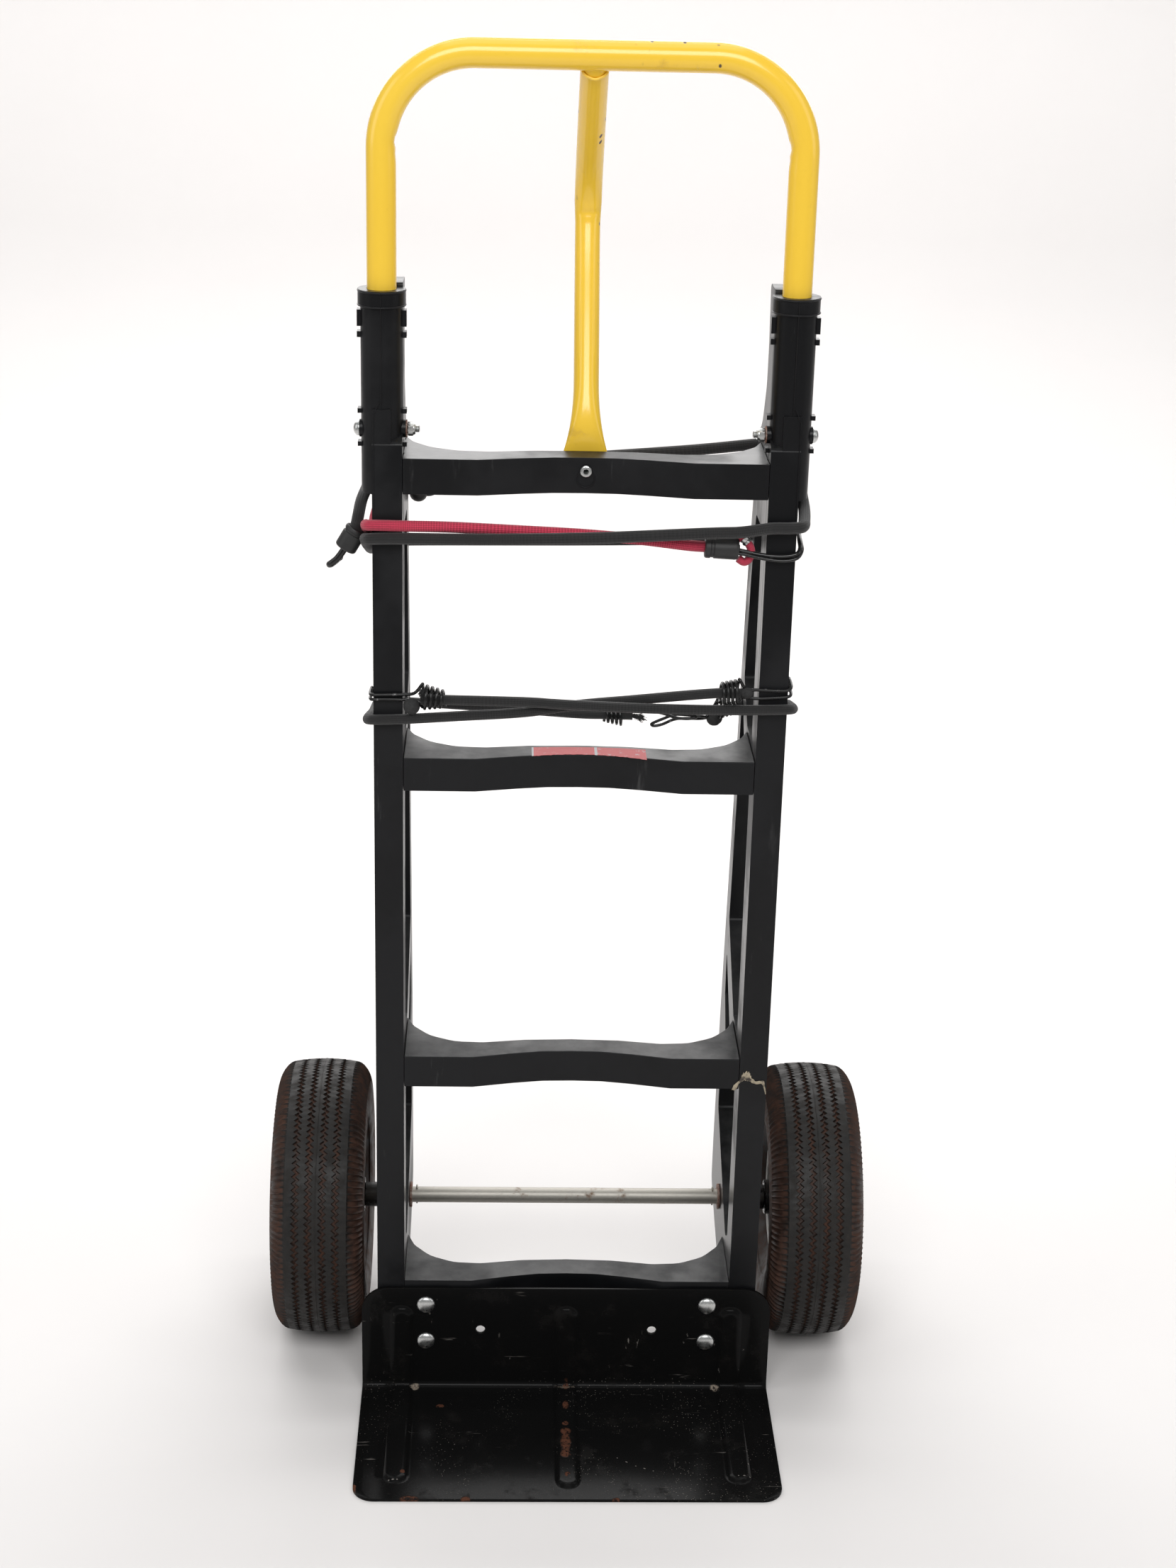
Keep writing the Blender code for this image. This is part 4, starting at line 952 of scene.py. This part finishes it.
def tread_columns():
    """Columns across the tread: station, how far it follows the zigzag, and its depth."""
    columns = [(-TREAD_EDGE, 0.0, 0.0), (-TREAD_RIM, 0.0, 0.0)]
    for i, groove in enumerate(GROOVES):
        columns += [(groove - 0.0024, 1.0, 0.0), (groove - 0.0015, 1.0, GROOVE_DEPTH)]
        columns += [(groove + 0.0015, 1.0, GROOVE_DEPTH), (groove + 0.0024, 1.0, 0.0)]
        if i == 1:
            columns += [(-0.0006, 0.0, 0.0), (-0.0003, 0.0, -0.0003)]
            columns += [(0.0003, 0.0, -0.0003), (0.0006, 0.0, 0.0)]
        elif i < 3:
            columns.append((groove + 0.0064, 0.0, 0.0))
    return columns + [(TREAD_RIM, 0.0, 0.0), (TREAD_EDGE, 0.0, 0.0)]


def tyre_row(phase):
    """One row across the tyre at one step of a tooth, from bead to bead and back inside."""
    zigzag = ZIGZAG * (1 - abs((phase - 4) / 2)) if phase > 0 else -ZIGZAG
    fin = FIN if phase == 0 else 0.001 if phase in (1, 7) else 0.0
    right = tenths((302, 516), (302, 600), (322, 632), (350, 675), (385, 745), (412, 800), (424, 806),
                   (436, 832), (449, 900), (459, 970), (464, 1040), (461, 1110))
    shoulder = tenths((452, 1150), (446, 1162), (440, 1176), (428, 1212), (418, 1232), (398, 1268),
                      (368, 1306), (338, 1330), (318, 1343))
    for (x, r), share in zip(shoulder, (0.1, 0.5, 0.8, 0.9, 1.0, 1.0, 1.0, 1.0, 0.8)):
        right.append((x + fin * share * 0.6, r + fin * share * 0.6 - 0.0008 * share))
    across = []
    for x, follow, depth in tread_columns():
        crown = TYRE_RADIUS - 0.0026 * (x / TREAD_EDGE) ** 2
        across.append((x + follow * zigzag, crown - depth))
    inside = tenths((216, 516), (226, 600), (330, 740), (385, 900), (385, 1060), (330, 1210), (200, 1290))
    return [(-x, r) for x, r in right] + across + right[::-1] + mirrored(inside)


def tyre_mesh():
    """The casing with ribs, zigzag grooves and shoulder fins."""
    count = TEETH * STEPS_PER_TOOTH
    rows = [tyre_row(phase) for phase in range(STEPS_PER_TOOTH)]
    rings = [around(rows[step % STEPS_PER_TOOTH], 2 * pi * step / count) for step in range(count)]
    return skin("tyre_casing", rings, closed=True, sharp=28)


def rim_mesh():
    """Pressed wheel halves: rolled lips, bead seats, a dished disc with radial ribs."""
    out = tenths((326, 596), (330, 606), (322, 612), (306, 604), (304, 560), (300, 514), (220, 508))
    under = tenths((330, 560), (328, 520), (316, 496), (290, 480), (200, 476), (110, 470), (75, 440),
                   (60, 400), (58, 320), (64, 270), (80, 230), (120, 205), (140, 190), (140, 178))

    def ribs(x, r, angle):
        if 0.024 < r < 0.044 and abs(x) < 0.012:
            swell = sin(pi * (r - 0.024) / 0.02) * max(0, cos(4 * angle)) ** 6
            return x + copysign(0.0016 * swell, x), r
        return x, r

    return ringed("rim_halves", mirrored(out) + mirrored(under)[::-1], 160, 40, ribs)


def wheel(side, sign):
    """One wheel's finished pieces, turning on its own body."""
    centre = Vector((sign * WHEEL_X, AXLE_Y, AXLE_Z))
    outward = (sign, 0, 0)

    def fit(name, data, look, node=None, place=None):
        node = node and node + "_" + side
        piece(name + "_" + side, data, look, node, place or aimed(centre, outward), "wheel_" + side)

    fit("tyre_casing", tyre_mesh(), TYRE, "tyre")
    belly = tenths((195, 620), (300, 740), (350, 900), (350, 1050), (300, 1180), (180, 1260))
    fit("air_tube", ringed("air_tube", mirrored(belly), 64, 60), RUBBER, "inner_tube")
    fit("rim_halves", rim_mesh(), RIM, "rim")
    hub = tenths((355, 149), (355, 168), (348, 175), (160, 175), (152, 182), (-152, 182), (-160, 175),
                 (-408, 175), (-415, 168), (-415, 149), (-405, 146), (345, 146))
    fit("hub_tube", ringed("hub_tube", hub, 72, 40), STEEL_PAINT, "hub")
    race = tenths((50, 83), (55, 88), (52, 98), (44, 102), (46, 120), (55, 122), (55, 140), (50, 144))
    for end, x in (("outer", 0.03), ("inner", -0.036)):
        ring = ringed("race_" + end, mirrored(race), 72, 30)
        place = aimed(centre + sign * x * ALONG, outward)
        fit("race_" + end, ring, BEARING_STEEL, "bearing_" + end, place)
    head = mirrored(tenths((112, 2), (112, 40), (104, 52), (56, 55)))
    for k in range(4):
        a = pi / 4 + pi / 2 * k
        radial = Vector((0, cos(a), sin(a))) * RIM_BOLT_CIRCLE
        place = aimed(centre + radial, outward)
        fit("rim_bolt_%d" % (k + 1), spun("rim_bolt", head, 6, 30), ZINC, place=place)
    stem = tenths((90, 3), (88, 24), (70, 31), (20, 31), (10, 26), (-20, 26), (-30, 32), (-85, 38),
                  (-100, 40), (-102, 4))
    valve_low, valve_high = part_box("valve_stem_" + side)
    place = aimed((valve_low + valve_high) / 2, (-sign, 0, 0))
    fit("valve", spun("valve", stem, 28), RUBBER, "valve_stem", place)


def split_pin(name, node, centre, length, across):
    """A split pin: an eye on top and two legs spread below."""
    low = centre.z - length / 2
    high = centre.z + length / 2 - 0.0045
    leg = [(0.0022, low + 0.0008), (0.0008, low + 0.004), (0.0008, centre.z), (0.0008, high - 0.001)]
    eye = []
    for k in range(11):
        a = -1.2 + (2 * pi - 0.74) * k / 10
        eye.append((EYE * cos(a), high + 0.0026 + EYE * sin(a)))
    route = leg + eye + [(-x, z) for x, z in reversed(leg)]
    points = [Vector((centre.x, centre.y, z)) + across * x for x, z in route]
    piece(name, rods(name, 0.0008, 3, points), DULL_ZINC, node)


def axle_pieces():
    """The rod, spacers, washers and split pins."""
    half = AXLE_HALF
    outline = [(-half, 0.006), (-half, 0.0068), (0.0012 - half, AXLE_RADIUS)]
    outline += [(-half + 2 * half * k / 24, AXLE_RADIUS) for k in range(1, 24)]
    outline += [(half - 0.0012, AXLE_RADIUS), (half, 0.0068), (half, 0.006)]
    centre = Vector((0, AXLE_Y, AXLE_Z))
    place = Matrix.Translation(centre)
    piece("axle_rod", spun("axle_rod", outline, 56), AXLE_ZINC, "axle", place)
    for side, sign in SIDES:
        outward = (sign, 0, 0)
        inner, outer = SPACER_INNER, WHEEL_X - HUB_INNER
        half = (outer - inner) / 2
        sleeve = mirrored([(half - 0.0006, BORE), (half, 0.0088), (half, 0.0118), (half - 0.0007, 0.0125)])
        spacer, end_washer, rail_washer, rail_pin, end_pin = (
            centre + sign * x * ALONG
            for x in ((inner + outer) / 2, WHEEL_X + HUB_OUTER + 0.0013, RAIL_INNER - 0.00145, 0.152, 0.2875)
        )
        piece("spacer_" + side, ringed("spacer", sleeve, 48, 40), STEEL_PAINT,
              "axle_spacer_" + side, aimed(spacer, outward))
        flat_washer("end_washer_" + side, "axle_washer_" + side, end_washer, outward, BORE, 0.014, 0.002,
                    ZINC)
        flat_washer("rail_washer_" + side, "frame_washer_" + side, rail_washer, outward,
                    BORE, 0.013, 0.0023, RUSTY)
        split_pin("rail_split_pin_" + side, "frame_pin_" + side, rail_pin, 0.02, BACK)
        split_pin("end_split_pin_" + side, "cotter_pin_" + side, end_pin, 0.03, ALONG)


# ---- bungee cords

# the cords' routes between their hooks, in tenths of a millimetre
RED_KNOTS = places(
    (1048, -35, 8690), (891, -35, 8700), (500, -20, 8740), (0, -10, 8775), (-540, -15, 8800),
    (-1150, -35, 8828), (-1590, -53, 8837), (-1800, -56, 8840), (-1893, -40, 8836), (-1912, 60, 8810),
    (-1912, 400, 8665), (-1912, 700, 8550), (-1912, 1000, 8465), (-1912, 1250, 8455), (-1908, 1400, 8530),
    (-1868, 1480, 8640), (-1790, 1540, 8765), (-1720, 1548, 8842), (-1633, 1548, 8859),
)
LONG_KNOTS = places(
    (-2016, 187, 8735), (-2000, 190, 8795), (-1985, 205, 8870), (-1965, 320, 8965), (-1935, 550, 9013),
    (-1917, 850, 9020), (-1917, 1310, 9012), (-1882, 1400, 9008), (-1780, 1455, 9010),
    (-1500, 1475, 9020), (-500, 1470, 9070), (910, 1450, 9190), (1620, 1425, 9275), (1810, 1400, 9295),
    (1903, 1345, 9292), (1922, 1230, 9275), (1922, 600, 9145), (1932, 420, 9055), (1940, 250, 8965),
    (1926, 80, 8910), (1902, -42, 8885), (1800, -62, 8874), (1608, -80, 8872), (1350, -165, 8858),
    (1050, -175, 8846), (78, -130, 8777), (-743, -120, 8748), (-1150, -100, 8738), (-1559, -62, 8727),
    (-1800, -60, 8722), (-1897, -43, 8712), (-1917, 60, 8685), (-1917, 400, 8545), (-1917, 1000, 8345),
    (-1914, 1470, 8278), (-1868, 1545, 8263), (-1770, 1575, 8259), (-1400, 1580, 8269), (0, 1580, 8291),
    (1180, 1580, 8318),
)
SHORT_LEFT_KNOTS = places(
    (-1432, -67, 7249), (-1360, -66, 7250), (-1270, -66, 7250), (-1150, -66, 7250), (-505, -70, 7242),
    (-250, -98, 7238), (2, -114, 7232), (600, -115, 7212), (1250, -85, 7196), (1608, -54, 7190),
    (1800, -53, 7196), (1891, -37, 7196), (1910, 60, 7175), (1912, 500, 7060), (1912, 1000, 6880),
    (1912, 1690, 6672), (1892, 1758, 6660), (1825, 1793, 6643), (1640, 1801, 6608), (1540, 1799, 6588),
    (1450, 1798, 6570),
)
SHORT_RIGHT_KNOTS = places(
    (1422, -63, 7348), (1360, -62, 7348), (1285, -62, 7348), (1190, -62, 7346), (873, -50, 7312),
    (438, -18, 7254), (0, -10, 7205), (-503, -26, 7131), (-1100, -48, 7093), (-1583, -53, 7060),
    (-1800, -53, 7051), (-1891, -37, 7046), (-1910, 60, 7022), (-1912, 500, 6900), (-1912, 1000, 6760),
    (-1912, 1700, 6605), (-1892, 1765, 6600), (-1800, 1803, 6592), (-1500, 1805, 6580),
    (-700, 1770, 6545), (0, 1730, 6512), (280, 1726, 6508), (420, 1726, 6506), (560, 1726, 6504),
)

# a weave's two tones: the dark tone is painted shade in the gaps between threads, the light tone painted
# sheen on the thread tops
RED = ((0.3, 0.012, 0.035), (0.7, 0.045, 0.105))
BLACK = ((0.003, 0.003, 0.003), (0.012, 0.0115, 0.012))


def bungee(name, knots, diameter, tones):
    """A woven elastic cord along its route."""
    route = smooth(knots)
    length = length_of(route)
    look = weave(name + "_weave", *tones, length, diameter)
    cord = piece(name + "_sleeve", rods(name, diameter / 2, 5, route), look, name)


def bungees():
    """The four stowed cords."""
    bungee("bungee_red_cord", RED_KNOTS, 0.0098, RED)
    bungee("bungee_long_cord", LONG_KNOTS, 0.0105, BLACK)
    for side, knots in (("left", SHORT_LEFT_KNOTS), ("right", SHORT_RIGHT_KNOTS)):
        bungee("bungee_short_cord_" + side, knots, 0.0092, BLACK)


# ---- hooks

def moulded_hook(name, start, end, radius, route, wire_radius, tip_radius):
    """A moulded hook: a grooved body over the cord's end, a coated wire and its rounded tip."""
    start, end = places(start, end)
    long = (end - start).length
    outline = [(0.0, 0.62), (0.0, 0.9), (0.02, 0.97), (0.06, 1.0), (0.16, 1.0), (0.18, 0.92), (0.26, 0.92),
               (0.28, 1.0), (0.9, 1.0), (0.96, 0.97), (1.0, 0.88), (1.0, 0.4), (1.04, 0.36)]
    body = spun(name + "_body", [(x * long, r * radius) for x, r in outline], 48, 30)
    piece(name + "_body", body, HOOK_PLASTIC, name, aimed(start, end - start))
    points = smooth([start.lerp(end, 0.7), *places(*route)], 6)
    piece(name + "_wire", rods("hook_wire", wire_radius, 4, points), COATED_WIRE)
    if tip_radius > 0:
        turns = [pi * k / 16 for k in range(17)]
        bead = [(-tip_radius * cos(a), max(0.0002, tip_radius * sin(a) ** 0.92)) for a in turns]
        place = aimed(points[-1], points[-1] - points[-3])
        piece(name + "_tip", spun(name + "_tip", bead, 32, 50), HOOK_PLASTIC, place=place)


def coil_knots(near, far, near_radius, far_radius, turns, lift):
    """Points of a tapering coil from its far end to its near end, about a level line."""
    near, far = places(near, far)
    count = int(turns * 12)
    points = []
    for k in range(count + 1):
        t = k / count
        radius = far_radius + (near_radius - far_radius) * t
        angle = 2 * pi * turns * (1 - t)
        centre = far.lerp(near, t) + Vector((0, 0, lift * t))
        points.append(centre + Vector((0, radius * sin(angle), radius * cos(angle))))
    return points


def wire_hook(name, coil, upper, lower, tip):
    """A coil gripping the cord, its wire running out to the hook's rounded tip and back."""
    points = smooth(coil + places(*upper, *tip, *reversed(lower)), 4)
    piece(name + "_wire", rods("hook_wire", 0.00148, 4, points), HOOK_WIRE, name)


def rope_end(name, centre, radius, direction, stretch=1.0):
    """The cord's swollen end, wrinkled where it was melted and knotted."""
    rings = []
    for i in range(1, 20):
        a = pi * i / 20
        ring = []
        for k in range(28):
            b = 2 * pi * k / 28
            lump = 1 + 0.05 * sin(5 * b + 3 * a) + 0.03 * sin(11 * b - 6 * a)
            r = radius * sin(a) ** 0.85 * lump
            ring.append((-radius * stretch * cos(a), r * cos(b), r * sin(b)))
        rings.append(ring)
    place = aimed(*places(centre), direction)
    piece(name, skin(name, rings, sharp=80), KNOT_WEAVE, place=place)


def tuft(name, centre, direction, length, spread, threads, seed):
    """Loose threads at a cut end of a black cord."""
    rng = random.Random(seed)
    start = places(centre)[0]
    ahead = Vector(direction).normalized()
    runs = []
    for _ in range(threads):
        root = Vector([rng.uniform(-1, 1) for _ in range(3)]) * spread * 0.55
        lean = Vector([rng.uniform(-1, 1) for _ in range(3)]) * spread
        reach = length * rng.uniform(0.55, 1.0)
        runs.append([start + root, start + root + ahead * reach * 0.5 + lean * 0.3,
                     start + root + ahead * reach + lean])
    piece(name, rods(name, 0.00022, 1, *runs), KNOT_WEAVE)


def hooks():
    """The hooks on the eight cord ends."""
    moulded_hook(
        "bungee_red_hook_front", (1051, -35, 8690), (1345, -35, 8675), 0.0098,
        [(1450, -34, 8640), (1600, -33, 8615), (1750, -33, 8610), (1860, -30, 8632), (1898, 30, 8670),
         (1900, 140, 8715), (1905, 260, 8740)], 0.0021, 0.0,
    )
    strand = places((1290, -75, 8655), (1450, -66, 8622), (1600, -62, 8590), (1750, -58, 8577),
                    (1862, -50, 8600), (1912, 20, 8650), (1915, 140, 8690), (1910, 255, 8722))
    points = smooth(strand, 6)
    piece("bungee_red_hook_front_strand", rods("strand", 0.0016, 4, points), COATED_WIRE)
    fold = places((1300, -10, 8745), (1365, -5, 8765), (1410, -5, 8742), (1450, -8, 8690),
                  (1462, -8, 8630), (1440, -8, 8570), (1400, -8, 8550), (1350, -8, 8580))
    points = smooth(fold, 8)
    look = weave("red_fold_weave", *RED, length_of(points), 0.0072)
    piece("bungee_red_fold", rods("fold", 0.0036, 5, points), look)
    band = mirrored(tenths((30, 36), (30, 40), (26, 44), (6, 43), (2, 40)))
    place = aimed(at(0.1408, -0.0005, 0.8744), (0.66, 0, -0.75))
    piece("bungee_red_crimp", ringed("crimp", band, 36, 40), ZINC, place=place)
    moulded_hook(
        "bungee_red_hook_rear", (-1630, 1548, 8860), (-1400, 1548, 8905), 0.0085,
        [(-1340, 1545, 8910), (-1290, 1510, 8870), (-1310, 1470, 8800), (-1390, 1450, 8750),
         (-1505, 1445, 8757)], 0.0024, 0.0083,
    )
    moulded_hook(
        "bungee_long_hook_left", (-1998, 188, 8745), (-2106, 180, 8563), 0.0098,
        [(-2160, 178, 8488), (-2220, 180, 8432), (-2243, 200, 8411), (-2235, 240, 8402),
         (-2195, 275, 8425), (-2165, 285, 8455)], 0.0031, 0.0036,
    )
    moulded_hook(
        "bungee_long_hook_rear", (1183, 1580, 8318), (1480, 1580, 8334), 0.0095,
        [(1600, 1560, 8344), (1760, 1550, 8356), (1870, 1510, 8366), (1905, 1400, 8376),
         (1912, 1260, 8376)], 0.0024, 0.005,
    )
    wire_hook(
        "wire_hook_left_front",
        coil_knots((-1420, -66, 7252), (-1216, -66, 7258), 0.011, 0.007, 4.5, 0.0028),
        [(-1490, -26, 7296), (-1600, -22, 7282), (-1790, -22, 7276), (-1866, -20, 7274),
         (-1885, 30, 7270), (-1884, 170, 7262)],
        [(-1412, -70, 7180), (-1450, -26, 7205), (-1530, -22, 7228), (-1620, -22, 7234),
         (-1790, -22, 7234), (-1866, -20, 7231), (-1885, 30, 7226), (-1884, 170, 7211)],
        [(-1882, 245, 7255), (-1881, 262, 7232), (-1882, 240, 7212)],
    )
    rope_end("short_left_end", (-1512, -66, 7187), 0.0073, (1, 0, 0.2))
    tuft("short_left_fray", (-1412, -120, 7282), (-0.08, -0.1, 1), 0.008, 0.003, 120, 3)
    wire_hook(
        "wire_hook_right_front",
        coil_knots((1413, -62, 7352), (1241, -62, 7348), 0.0104, 0.0088, 4.5, 0.0016),
        [(1475, -40, 7374), (1560, -22, 7370), (1660, -22, 7366), (1790, -22, 7362), (1862, -20, 7372),
         (1885, 30, 7392), (1884, 170, 7410)],
        [(1400, -62, 7262), (1440, -30, 7300), (1500, -22, 7292), (1600, -22, 7288), (1790, -22, 7300),
         (1862, -20, 7310), (1885, 30, 7322), (1884, 170, 7346)],
        [(1882, 245, 7398), (1881, 262, 7378), (1882, 240, 7358)],
    )
    rope_end("short_right_end", (1470, -60, 7352), 0.0048, (1, 0, 0), 1.35)
    wire_hook(
        "wire_hook_left_rear",
        coil_knots((1385, 1797, 6557), (1555, 1799, 6591), 0.0092, 0.0074, 4.5, 0.0),
        [(1300, 1770, 6500), (1220, 1750, 6496), (1080, 1765, 6502), (970, 1785, 6495),
         (860, 1795, 6448)],
        [(1330, 1830, 6460), (1220, 1795, 6455), (1080, 1790, 6458), (970, 1800, 6442),
         (860, 1808, 6388)],
        [(785, 1800, 6412), (751, 1805, 6387), (780, 1808, 6370)],
    )
    rope_end("short_left_rear_end", (1361, 1800, 6466), 0.0078, (0, 0, 1))
    wire_hook(
        "wire_hook_right_rear",
        coil_knots((470, 1726, 6506), (285, 1726, 6512), 0.0092, 0.0066, 4.5, -0.0008),
        [(560, 1690, 6570), (700, 1700, 6585), (860, 1712, 6560), (980, 1730, 6522), (1090, 1740, 6514)],
        [(545, 1765, 6530), (700, 1755, 6545), (860, 1752, 6518), (980, 1750, 6478), (1090, 1750, 6468)],
        [(1158, 1745, 6503), (1184, 1750, 6490), (1160, 1752, 6476)],
    )
    tuft("short_right_fray", (560, 1726, 6500), (1, 0, -0.25), 0.012, 0.003, 70, 5)


# ---- stage

LENS_MM, SENSOR_MM = 57.35, 36
CAMERA_PLACE = (-0.0686, -2.16265, 1.4487)
# pitch, yaw and roll in degrees
CAMERA_TURN = (20.8, 2.077, 1.447)
FLOOR_BACK, FLOOR_BEND = 3.0, 0.6


def camera():
    """The camera in front of the truck and above it, tilted down and a little askew."""
    lens = bpy.data.cameras.new("camera")
    lens.lens = LENS_MM
    lens.sensor_width = SENSOR_MM
    pitch, yaw, roll = (radians(angle) for angle in CAMERA_TURN)
    ahead = Vector((sin(yaw) * cos(pitch), cos(yaw) * cos(pitch), -sin(pitch)))
    right = Vector((cos(yaw), -sin(yaw), 0))
    up = right.cross(ahead)
    rolled_right = cos(roll) * right + sin(roll) * up
    rolled_up = cos(roll) * up - sin(roll) * right
    turn = Matrix((rolled_right, rolled_up, -ahead)).transposed().to_4x4()
    bpy.context.scene.camera = stand("camera", lens, Matrix.Translation(CAMERA_PLACE) @ turn)


def backdrop():
    """A pale floor that curves up into a pale wall."""
    look = Finish("pale_floor", 0.6)
    look.colour(look.mix(look.noise(2.0, 5), (0.735, 0.715, 0.705), (0.77, 0.75, 0.74)))
    profile = [(-5.0, 0.0), (FLOOR_BACK, 0.0)]
    for k in range(1, 9):
        angle = pi / 2 * k / 8
        profile.append((FLOOR_BACK + FLOOR_BEND * sin(angle), FLOOR_BEND - FLOOR_BEND * cos(angle)))
    profile.append((FLOOR_BACK + FLOOR_BEND, 5.0))
    mesh = sheet("floor", [[(x, y, z) for x in (6.0, -6.0)] for y, z in profile])
    mesh.shade_smooth()
    wear(stand("floor", mesh), look.material)


def softbox(name, place, target, size, power):
    """One large area light aimed at a point."""
    light = bpy.data.lights.new(name, "AREA")
    light.shape = "RECTANGLE"
    light.size, light.size_y = size
    light.energy = power
    lamp = stand(name, light)
    lamp.location = place
    lamp.rotation_euler = (Vector(target) - Vector(place)).to_track_quat("-Z", "Y").to_euler()
    lamp.visible_camera = False


def studio():
    """Soft light from above the camera, from behind and from the sides, and on the wall."""
    world = bpy.data.worlds.new("studio")
    bpy.context.scene.world = world
    world.use_nodes = True
    sky = world.node_tree.nodes["Background"]
    sky.inputs["Color"].default_value = (1, 1, 1, 1)
    sky.inputs["Strength"].default_value = 0.28
    softbox("front_light", (0, -2.9, 3.1), (0, 0, 0.7), (3.0, 1.6), 84)
    softbox("back_light", (0, 2.9, 2.5), (0, -0.1, 0.9), (5.0, 2.4), 84)
    softbox("wall_light", (0, 1.1, 3.2), (0, 3.6, 1.3), (5.0, 0.8), 90)
    softbox("top_light", (0, 0.2, 3.6), (0, 0, 0.4), (2.0, 2.0), 12)
    softbox("left_light", (-2.8, -0.9, 1.9), (0, 0, 0.6), (1.4, 2.2), 14)
    softbox("right_light", (2.8, -0.9, 1.9), (0, 0, 0.6), (1.4, 2.2), 11)
    bpy.context.scene.view_settings.view_transform = "Standard"


# ---- build

def cad_finishes():
    """Every CAD node that stays gets the detailed version of its material."""
    slots = {part["node"]: part["material_slot"] for part in frame["record"]["subparts"]}
    for name, node in NODES.items():
        wear(node, SLOT_LOOKS[slots[name]])


camera()
backdrop()
studio()
cad_finishes()
for rail in ("side_frame_left", "side_frame_right"):
    moulded(rail, 0.001)
for rung in ("top", "upper", "lower", "bottom"):
    moulded("crossbar_" + rung, 0.0009)
frame_details()
label_sheet()
rail_chip()
handle_tube()
centre_brace()
fasteners()
toe_sheet()
for side, sign in SIDES:
    wheel(side, sign)
axle_pieces()
hooks()
bungees()
